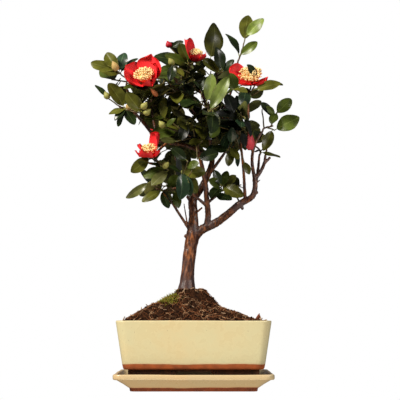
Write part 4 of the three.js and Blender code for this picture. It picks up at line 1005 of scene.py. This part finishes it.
def hides_sky(points):
    """Whether points lie on a line of sight through one of the gaps."""
    seen = EYE + (points - EYE) * EYE[1] / (EYE[1] - points[:, 1:2])
    return any((np.hypot(seen[:, 0] - x, seen[:, 2] - z) < reach + SKY_ROOM).any() for x, z, reach in SKY)


def keep_leaf(crown, mass, leaf, room):
    """A leaf that fits is kept with the points that it takes up."""
    samples = leaf_samples(leaf)
    blade = samples[3:]
    shown = room is LEAD_ROOM
    fits = (in_space(mass, samples, room["reach"])
            and (shown or not (hides_shown(crown, samples) or hides_sky(samples)))
            and has_room(crown, mass, samples, room)
            and not near(blade, mass["blades"], room["leaf"])
            and not near(blade, mass["stalks"], room["twig"]))
    if fits:
        mass["leaves"].append(leaf)
        mass["blades"] = np.vstack([mass["blades"], blade])
        take(crown, mass, samples)
    if fits and shown:
        show(crown, samples)
    return fits


def keep_twig(crown, mass, twig, kind):
    samples = twig_samples(twig)
    mass["twigs"][kind].append(twig)
    mass["stalks"] = np.vstack([mass["stalks"], samples])
    take(crown, mass, samples)


def leaf_face(root, random):
    """The way a leaf faces: upwards and out of the crown, with some chance."""
    chance = np.array([next(random) - 0.5, next(random) - 0.5, next(random) - 0.5])
    return UP * 0.55 + unit(root - CROWN_MIDDLE) * 0.9 + chance * 0.8


def grow_stem(crown, mass):
    """The stem runs on from its bough's tip to the middle of the mass."""
    bends = vector(LIMBS[mass["carrier"]])[:, :3]
    heading = unit(bends[-1] - curve_point(bends, 0.9999))
    root = bends[-1] + heading * STEM["gap"]
    knee = root + heading * STEM["knee"] * np.linalg.norm(mass["middle"] - root)
    twig = new_twig([root, knee, mass["middle"]], STEM["radius"], mass["tints"][0])
    keep_twig(crown, mass, twig, "stem")


def side_twig(mass, share, tip, order):
    """A twig from a place on the stem, with the tint of its turn for its leaves."""
    root, _ = twig_at(mass["twigs"]["stem"][0], share)
    return new_twig([root, tip], TWIG_RADIUS, mass["tints"][order % len(mass["tints"])])


def grow_bud(crown, mass, kind, twig):
    """A bud at a lead's tip leans on from it and up. The pink one stands upright."""
    tip = twig["points"][-1]
    axis = UP if kind == "pink" else unit(twig_at(twig, 1)[1] + UP)
    mass["buds"].append({"root": tip, "axis": axis, "kind": kind})
    take(crown, mass, np.array([tip + axis * BUD_SIZES[kind][1] * share for share in (0.3, 0.6, 1)]))


def grow_flower(crown, mass, look, twig):
    flower = dict(look, root=twig["points"][-1])
    samples = flower_samples(flower)
    mass["flowers"].append(flower)
    mass["blades"] = np.vstack([mass["blades"], samples])
    show(crown, samples)
    take(crown, mass, samples)


def grow_leads(crown, mass):
    """The shoots that the photograph shows, each with the bud or flower that ends it."""
    for order, (tip, end, *_) in enumerate(mass["leads"]):
        twig = side_twig(mass, LEAD_ROOT["first"] - LEAD_ROOT["step"] * order, vector(tip), order)
        keep_twig(crown, mass, twig, "lead")
        if isinstance(end, dict):
            grow_flower(crown, mass, end, twig)
        elif end in BUD_SIZES:
            grow_bud(crown, mass, end, twig)


def grow_lead_leaves(crown, mass):
    """The leaves of a lead aim at the tips that the photograph shows."""
    for (_, _, *aims), twig in zip(mass["leads"], mass["twigs"]["lead"]):
        for index, (x, y, z, look, *width) in enumerate(aims):
            root, _ = twig_at(twig, 1 - LEAD_LEAVES * (index + 0.1) / len(aims))
            tint, facing = (look.split() + ["front"])[:2]
            leaf = leaf_frame(root, vector((x, y, z)), vector(FACINGS[facing]), tint, *width)
            keep_leaf(crown, mass, leaf, LEAD_ROOM)


def grow_shoots(crown, mass):
    """The other shoots spread from the stem to all sides of the mass."""
    for index in range(mass["shoots"]):
        height = SHOOT_HEIGHT["top"] - SHOOT_HEIGHT["fall"] * (index + 0.5) / mass["shoots"]
        turn = index * SHOOT_TURN["step"] + next(mass["random"]) * SHOOT_TURN["chance"]
        flat = math.sqrt(1 - height * height)
        reach = SHOOT_REACH["least"] + SHOOT_REACH["chance"] * next(mass["random"])
        direction = np.array([math.cos(turn) * flat, math.sin(turn) * flat, height])
        place = SHOOT_ROOT["low"] + SHOOT_ROOT["span"] * (index * SHOOT_ROOT["step"] % 1)
        tip = mass["middle"] + direction * mass["radii"] * reach
        twig = side_twig(mass, place, tip, index + len(mass["leads"]))
        samples = twig_samples(twig)
        if (has_room(crown, mass, samples, SHOOT_ROOM)
                and not near(samples, mass["blades"], SHOOT_ROOM["twig"])):
            keep_twig(crown, mass, twig, "shoot")


def spread_out(heading, spread, turn):
    """A heading that leans off another one by the spread, turned about it."""
    return heading * math.cos(spread) + turned(cross_pair(heading), turn) * math.sin(spread)


def grow_twig_leaves(crown, mass, twig, rule, room):
    """The leaves of a twig stand in a spiral, wide at its foot and narrow at its tip."""
    start = next(mass["random"]) * 2 * math.pi
    kept = 0
    for index in range(rule["count"]):
        order = 1 - index / (rule["count"] - 1)
        root, heading = twig_at(twig, LEAF_PLACE["low"] + LEAF_PLACE["span"] * order)
        length = LEAF_LENGTH * (rule["least"] + rule["chance"] * next(mass["random"]))
        face = leaf_face(root, mass["random"])
        spread = math.radians(LEAF_SPREAD["foot"] + (LEAF_SPREAD["tip"] - LEAF_SPREAD["foot"]) * order)
        for attempt in range(LEAF_TRIES):
            along = spread_out(heading, spread, start + index * LEAF_TURN + attempt * NEXT_TRY)
            along[2] -= LEAF_DROOP
            leaf = leaf_frame(root, root + unit(along) * length, face, twig["tint"])
            if keep_leaf(crown, mass, leaf, room):
                kept += 1
                break
    return kept


def grow_leaves(crown, mass, kind):
    """Leaves for the twigs of one kind: a twig that finds no room for a leaf isn't kept."""
    twigs = mass["twigs"][kind]
    mass["twigs"][kind] = [twig for twig in twigs if grow_twig_leaves(crown, mass, twig, *TWIG_LEAVES[kind])]


def grow_sprigs(crown, mass):
    """Finer twigs on the shoots, in the space that is left between their leaves."""
    for parent in mass["twigs"]["shoot"]:
        for place in SPRIG_PLACES:
            root, heading = twig_at(parent, place)
            along = spread_out(heading, SPRIG_SPREAD, next(mass["random"]) * 2 * math.pi)
            length = SPRIG_LENGTH["least"] + SPRIG_LENGTH["chance"] * next(mass["random"])
            twig = new_twig([root, root + along * length], SPRIG_RADIUS, parent["tint"])
            samples = twig_samples(twig)[2:]
            if (in_space(mass, samples, SPRIG_ROOM["reach"]) and has_room(crown, mass, samples, SPRIG_ROOM)
                    and not near(samples, mass["blades"], SPRIG_ROOM["twig"])
                    and not hides_shown(crown, samples)):
                keep_twig(crown, mass, twig, "sprig")


def twig_tube(twig, chance):
    """A twig as a thin tube that wanders a little and thins towards its tip."""
    points = curve_points(twig["points"], 7 if len(twig["points"]) == 2 else 11)
    points[1:-1] += chance.normal(size=(len(points) - 2, 3)) * 0.35
    radii = twig["radius"] * np.linspace(1, 0.7, len(points)) * chance.uniform(0.92, 1.08, len(points))
    return tube(points, radii, 7)


def crown_piece(name, parts, looks, slot="leaf", kinds=None):
    add_piece(name, *gathered(parts), looks, slot, foliage_nodes, kinds)


crown = start_crown()
# What the photograph shows grows first, then the other shoots, then finer twigs between them
for grow, *kind in ((grow_stem,), (grow_leads,), (grow_lead_leaves,), (grow_shoots,), (grow_leaves, "shoot"),
                    (grow_sprigs,), (grow_leaves, "sprig")):
    for mass in MASSES:
        grow(crown, mass, *kind)
foliage_nodes = ["foliage_" + mass["name"] for mass in MASSES]
chance = np.random.default_rng(71)
for name, look, kinds in (("stems", ("stem_bark", BARK, STEM_COLOURS), ("stem",)),
                          ("twigs", ("twig_bark", BARK, TWIG_COLOURS), ("lead", "shoot", "sprig"))):
    twigs = [twig for mass in MASSES for kind in kinds for twig in mass["twigs"][kind]]
    crown_piece(name, [twig_tube(twig, chance) for twig in twigs], [coated(*look, **BARK_FINISH)], "bark")

# Leaves
# Leathery and evergreen, with a pale midrib, a finely toothed edge and a waxy gloss on the upper side.
# Young ones at the tips are bright green, old ones dark, and the undersides a dull grey-green.
# The near-black shade tint is painted shade for leaves deep inside the crown.
STATIONS = (1 - np.cos(np.linspace(0, math.pi, 15))) / 2
COLUMNS = np.array([-1, -0.72, -0.4, -0.045, 0.045, 0.4, 0.72, 1])
STALK_SHARE = 0.1
LEAF_TEETH = 0.02
LEAF_THICK = 0.45
LEAF_BUMP = (0.08, 0.0006)
LEAF_GLOSS = {"upper": 0.3, "rib": 0.4, "under": 0.55}
LEAF_SHINE = 0.18
DEEP_TINTS = ("shade", "dark", "bluish")
DEEP_GLOSS = 0.26
DEEP_SHINE = 0.3
STALK_GLOSS = 0.5
STALK_COLOUR = (0.16, 0.17, 0.045)
# The colours of the upper side, the midrib and the underside
TINTS = {
    # shade: near-black leaves, painted shade for leaves deep in the crown's shadow
    "shade": ((0.002, 0.003, 0.001), (0.010, 0.014, 0.005), (0.016, 0.020, 0.006)),
    "dark": ((0.010, 0.018, 0.004), (0.035, 0.050, 0.012), (0.055, 0.062, 0.016)),
    "mid": ((0.040, 0.056, 0.007), (0.060, 0.080, 0.018), (0.075, 0.080, 0.020)),
    "bronze": ((0.036, 0.037, 0.004), (0.075, 0.078, 0.014), (0.085, 0.080, 0.020)),
    "olive": ((0.062, 0.064, 0.008), (0.100, 0.105, 0.022), (0.105, 0.100, 0.026)),
    "young": ((0.120, 0.165, 0.024), (0.200, 0.250, 0.060), (0.150, 0.175, 0.040)),
    "fresh": ((0.070, 0.098, 0.013), (0.130, 0.165, 0.035), (0.120, 0.140, 0.030)),
    "grey": ((0.075, 0.080, 0.022), (0.130, 0.130, 0.045), (0.140, 0.135, 0.050)),
    "soft": ((0.108, 0.142, 0.030), (0.140, 0.170, 0.055), (0.130, 0.140, 0.040)),
    "brown": ((0.33, 0.14, 0.04), (0.40, 0.20, 0.07), (0.36, 0.18, 0.07)),
    "bluish": ((0.014, 0.032, 0.015), (0.050, 0.085, 0.038), (0.070, 0.080, 0.030)),
}


def blade_grid(leaf, chance):
    """The upper side of a leaf as rows of points from its foot to its tip, bent in its own way."""
    share, across = STATIONS[:, None], COLUMNS[None, :]
    length = leaf["length"]
    fold, curl = chance.uniform(-0.08, 0.4), chance.uniform(0.02, 0.19)
    twist, wave = chance.normal() * 0.3, chance.uniform(0, 2 * math.pi)
    half = leaf["width"] / 2 * length * np.maximum(np.sin(math.pi * share ** 1.03), 0) ** 0.58
    half = np.maximum(half * (1 - LEAF_TEETH * (np.arange(len(STATIONS)) % 2)[:, None]), 0.4)
    out = across * half
    ripple = np.sin(share * 9 + wave + across) * np.abs(across) * 0.02
    rise = np.abs(out) * fold + (ripple - curl * share ** 2) * length
    turn = twist * share
    sideways = out * np.cos(turn) - rise * np.sin(turn)
    upwards = out * np.sin(turn) + rise * np.cos(turn)
    forward = (STALK_SHARE + (1 - STALK_SHARE) * share) * length + 0 * across
    return (leaf["root"] + forward[..., None] * leaf["along"] + sideways[..., None] * leaf["side"]
            + upwards[..., None] * leaf["up"])


def grid_faces(rows, columns, start, turned_over):
    """Four-cornered faces of a grid of points."""
    faces = []
    for row in range(rows - 1):
        for column in range(columns - 1):
            low = start + row * columns + column
            face = (low, low + 1, low + columns + 1, low + columns)
            faces.append(face[::-1] if turned_over else face)
    return faces


def two_sided(grid, facing, thick):
    """A thin sheet with an upper and an under side that meet at its edge."""
    rows, columns, _ = grid.shape
    across = np.linspace(-1, 1, columns)
    depth = thick * (1 - across ** 2)[None, :, None] * facing
    points = np.concatenate([grid.reshape(-1, 3), (grid - depth).reshape(-1, 3)])
    return points, grid_faces(rows, columns, 0, True) + grid_faces(rows, columns, rows * columns, False)


def blade_kinds():
    """Which of a leaf's faces are upper side, midrib or underside, as numbers of its materials."""
    half = (len(COLUMNS) - 1) // 2
    upper = [0] * half + [1] + [0] * half
    under = [2] * half + [1] + [2] * half
    return (upper * (len(STATIONS) - 1)) + (under * (len(STATIONS) - 1))


def stalk_tube(leaf):
    foot = leaf["root"] - leaf["along"]
    top = leaf["root"] + leaf["along"] * leaf["length"] * (STALK_SHARE + 0.03)
    return tube([foot, (foot + top) / 2 - leaf["up"] * 0.4, top], [1.0, 0.75, 0.6], 5)


def leaf_group():
    """A leaf's skin: its colour a little mottled, with a gloss that varies and a faint quilting."""
    tree, given, place = start_group("leaf_skin", ("Color",), ("Gloss",))
    slow = clouds(tree, place, 60, 2)
    quilt = clouds(tree, place, 150, 2)
    lighter = node(tree, "HueSaturation", {"Color": given["Color"], "Value": 1.5}).outputs[0]
    darker = node(tree, "HueSaturation", {"Color": given["Color"], "Value": 0.7}).outputs[0]
    mottled = mixed(tree, ranged(tree, slow, 0.35, 0.65), darker, lighter)
    rough = maths(tree, "ADD", given["Gloss"], ranged(tree, quilt, 0.3, 0.7, -0.05, 0.08))
    return finish_group(tree, Color=mottled, Roughness=rough, Height=quilt)


def leafy(name, colour, gloss, shine=LEAF_SHINE):
    """One side of a leaf in one colour."""
    return coated(name, LEAF, {"Color": colour, "Gloss": gloss}, shine, LEAF_BUMP)


def leaf_looks(tint):
    """The materials of a leaf's sides and midrib. Deep tints are glossier on the upper side."""
    looks = []
    for (side, gloss), colour in zip(LEAF_GLOSS.items(), TINTS[tint]):
        if side == "upper" and tint in DEEP_TINTS:
            looks.append(leafy(f"{tint}_{side}", colour, DEEP_GLOSS, DEEP_SHINE))
        else:
            looks.append(leafy(f"{tint}_{side}", colour, gloss))
    return looks


LEAF = leaf_group()
leaves = [leaf for mass in MASSES for leaf in mass["leaves"]]
chance = np.random.default_rng(83)
for tint in TINTS:
    tinted = [leaf for leaf in leaves if leaf["tint"] == tint]
    sheets = [two_sided(blade_grid(leaf, chance), leaf["up"], LEAF_THICK) for leaf in tinted]
    crown_piece(f"{tint}_leaves", sheets, leaf_looks(tint), kinds=blade_kinds() * len(sheets))
stalk_look = leafy("leaf_stalk", STALK_COLOUR, STALK_GLOSS)
crown_piece("leaf_stalks", [stalk_tube(leaf) for leaf in leaves], [stalk_look])

# Flowers
# Single red blooms: waved, notched petals in a cup round a wide brush of peach-yellow stamens, held by
# green scales at the foot of the cup.
PETAL_ROWS = np.sin(np.linspace(0, math.pi / 2, 12))
PETAL_COLUMNS = np.linspace(-1, 1, 9)
PETAL = {"reach": 26, "rise": 14, "half": 17.5}
PETAL_THICK = 0.6
SEPAL = {"reach": 9, "rise": 5, "half": 6}
SEPAL_THICK = 0.8
SEPALS = 5
# Radius and height of the rings of the foot that the stamens grow from
COLUMN_RINGS = ((4, 1), (7, 5), (11, 10), (14, 14.5), (12, 17), (6, 19), (0.4, 19.5))
COLUMN_SIDES = 12
STAMENS = 220
WAX_FINISH = {"shine": 0.22, "bump": (0.15, 0.0005)}
# The material of each part: its name, its colour, its roughness and the scale of its grain
FLOWER_LOOKS = {
    "petals": ("petal_red", (0.84, 0.026, 0.032), 0.5, 120),
    "columns": ("column", (1.0, 0.53, 0.18), 0.6, 300),
    "stamens": ("stamen", (1.0, 0.58, 0.22), 0.6, 300),
    "anthers": ("anther", (1.0, 0.77, 0.38), 0.7, 300),
    "sepals": ("sepal", (0.10, 0.12, 0.03), 0.5, 200),
}


def spokes(axis):
    """The directions square to a flower's axis: to the viewer's right, and a quarter turn on from it."""
    first = unit(RIGHT - axis * axis.dot(RIGHT))
    return first, np.cross(axis, first)


def petal_sheet(flower, turn, size, lift, thick, chance):
    """A petal or sepal: narrow at its foot, broad and round, cupped, waved and notched."""
    outward = turned(spokes(flower["axis"]), turn) * flower["size"]
    sideways = np.cross(flower["axis"], outward)
    share, across = PETAL_ROWS[:, None], PETAL_COLUMNS[None, :]
    below = 0.25 + 0.75 * np.sin(np.minimum(share / 0.6, 1) * math.pi / 2)
    above = np.sqrt(1 - np.clip((share - 0.6) / 0.4, 0, 0.985) ** 2.6)
    half = size["half"] * below * above * chance.uniform(0.95, 1.1)
    notch = 1 - 0.05 * np.exp(-(across / 0.3) ** 2) * share ** 6
    ruffle = np.sin(across * 4 + chance.uniform(0, 6)) * share ** 3 * size["rise"] * 0.13
    cup = across ** 2 * share * size["rise"] * 0.4
    forward = size["reach"] * flower["open"] * share * notch / math.sqrt(lift) - cup * (lift - 0.5) + 2
    steep = size["rise"] * (2 - flower["open"]) * lift * chance.uniform(0.9, 1.1)
    rise = steep * share ** 1.3 * notch + cup / lift ** 2 + ruffle
    grid = (flower["root"] + forward[..., None] * outward + (across * half)[..., None] * sideways
            + rise[..., None] * flower["axis"] * flower["size"])
    return two_sided(grid, flower["axis"], thick)


def brush_column(flower):
    """The thick foot that the stamens grow from together, with a domed top."""
    pair = spokes(flower["axis"])
    rings = []
    for radius, height in COLUMN_RINGS:
        ring = []
        for angle in np.arange(COLUMN_SIDES) / COLUMN_SIDES * 2 * math.pi:
            place = turned(pair, angle) * radius * flower["open"] + flower["axis"] * height * 0.9
            ring.append(flower["root"] + place * flower["size"])
        rings.append(ring)
    return loft(rings)


def stamen(flower, chance):
    """One stamen: a curved thread from the foot of the cup, and its anther."""
    outward = turned(spokes(flower["axis"]), chance.uniform(0, 2 * math.pi)) * flower["size"]
    spread = math.sqrt(chance.uniform(0.02, 1))
    height = chance.uniform(17, 24) * (1 - 0.25 * spread ** 2) * flower["size"]
    foot = flower["root"] + outward * 5 * spread + flower["axis"] * 1.5
    tip = flower["root"] + outward * 17 * spread * flower["open"] + flower["axis"] * height
    middle = (foot + tip) / 2 - outward * 1.4 * spread
    thread = tube([foot, middle, tip], [0.7, 0.55, 0.45], 4)
    return thread, crumb(chance, tip, unit(tip - middle), chance.uniform(1.0, 1.5), 1.2)


def waxy(name, colour, roughness, scale):
    """A soft petal-like surface: one colour with finer and deeper flecks of it."""
    return coated(name, EARTHY, grained(colour, 0.72, scale), roughness=roughness, **WAX_FINISH)


chance = np.random.default_rng(97)
parts = {name: [] for name in FLOWER_LOOKS}
for flower in [flower for mass in MASSES for flower in mass["flowers"]]:
    sunk = dict(flower, root=flower["root"] - flower["axis"] * 2)
    for turn, size, lift in flower["petals"]:
        petal = {key: value * size for key, value in PETAL.items()}
        parts["petals"].append(petal_sheet(flower, math.radians(turn), petal, lift, PETAL_THICK, chance))
    for index in range(SEPALS):
        turn = index * 2 * math.pi / SEPALS
        parts["sepals"].append(petal_sheet(sunk, turn, SEPAL, 1, SEPAL_THICK, chance))
    parts["columns"].append(brush_column(flower))
    for _ in range(STAMENS):
        thread, anther = stamen(flower, chance)
        parts["stamens"].append(thread)
        parts["anthers"].append(anther)
for name, look in FLOWER_LOOKS.items():
    crown_piece(name, parts[name], [waxy(*look)])

# Buds
# Flower buds in overlapping scales at the tips of shoots: most are still green, some peach or showing
# red, and one large pink one is half open.
BUD_COLOURS = {"bud": (0.34, 0.33, 0.09), "peach": (0.46, 0.31, 0.11), "slim": (0.55, 0.17, 0.06),
               "red": (0.42, 0.012, 0.025), "pink": (0.62, 0.06, 0.08)}
SCALE_ROWS = np.linspace(0, 1, 9)
SCALE_COLUMNS = np.linspace(-1, 1, 7)
# How far up the bud the scales of each round reach, and how far they stand off it
SCALE_ROUNDS = ((0.5, 0.7), (0.78, 0.35), (1.0, 0.0))
ROUND_SCALES = 4


def bud_scale(bud, turn, top, lift):
    """One scale, wrapped round the bud from its foot to a rounded point."""
    radius, length = BUD_SIZES[bud["kind"]]
    first, second = cross_pair(bud["axis"])
    share, across = SCALE_ROWS[:, None] * top, SCALE_COLUMNS[None, :]
    wide = 1.15 * np.sqrt(np.maximum(1 - (SCALE_ROWS[:, None] * 0.98) ** 3, 0))
    angle = turn + across * wide
    girth = radius * np.sin(math.pi * (0.1 + 0.87 * share) ** 0.8) + lift
    spread = np.cos(angle)[..., None] * first + np.sin(angle)[..., None] * second
    along = (share * length)[..., None] * bud["axis"] + np.zeros_like(spread)
    grid = bud["root"] - bud["axis"] * 0.5 + along + girth[..., None] * spread
    return grid.reshape(-1, 3), grid_faces(len(SCALE_ROWS), len(SCALE_COLUMNS), 0, False)


def bud_scales(bud):
    """Three rounds of scales, the outer ones shorter."""
    scales = []
    for order, (top, lift) in enumerate(SCALE_ROUNDS):
        for index in range(ROUND_SCALES):
            scales.append(bud_scale(bud, (index + 0.4 * order) * math.pi / 2, top, lift))
    return scales


buds = [bud for mass in MASSES for bud in mass["buds"]]
for kind, colour in BUD_COLOURS.items():
    scales = [scale for bud in buds if bud["kind"] == kind for scale in bud_scales(bud)]
    crown_piece(f"{kind}_scales", scales, [waxy(f"{kind}_scale", colour, 0.5, 150)])

# Light and camera
# A white room: a wide lamp in front and to the left, a weaker one to the right, and warm light that
# comes back up from a pale table. The camera stands level with the planter and looks up a little.
ROOM_STRENGTH = 0.16
LENS = 100.6
TILT = 5.98


def area_light(name, place, aim, size, power, colour):
    data = bpy.data.lights.new(name, "AREA")
    data.shape = "DISK"
    data.size = size
    data.energy = power
    data.color = colour
    lamp = bpy.data.objects.new(name, data)
    lamp.location = place
    lamp.rotation_euler = (Vector(aim) - Vector(place)).to_track_quat("-Z", "Y").to_euler()
    bpy.context.scene.collection.objects.link(lamp)


area_light("key", (-1.5, -1.2, 1.9), (0, 0, 0.4), 0.7, 110, (1, 0.94, 0.84))
area_light("fill", (1.5, -1.3, 1.1), (0, 0, 0.35), 0.6, 20, (1, 0.97, 0.93))
area_light("table", (0, -0.5, -0.6), (0, 0, 0.1), 0.8, 5.6, (1, 0.86, 0.66))
world = bpy.data.worlds.new("white_room")
bpy.context.scene.world = world
world.use_nodes = True
tree = world.node_tree
sky = tree.nodes["Background"]
seen = node(tree, "LightPath").outputs["Is Camera Ray"]
tree.links.new(ranged(tree, seen, 0, 1, ROOM_STRENGTH, 1.0), sky.inputs["Strength"])
sky.inputs["Color"].default_value = (1, 1, 1, 1)
bpy.context.scene.view_settings.view_transform = "Standard"
camera_data = bpy.data.cameras.new("camera")
camera_data.lens = LENS
camera_data.sensor_width = 36
camera = bpy.data.objects.new("camera", camera_data)
camera.location = EYE * MM
camera.rotation_euler = (math.radians(90 + TILT), 0, 0)
bpy.context.scene.collection.objects.link(camera)
bpy.context.scene.camera = camera
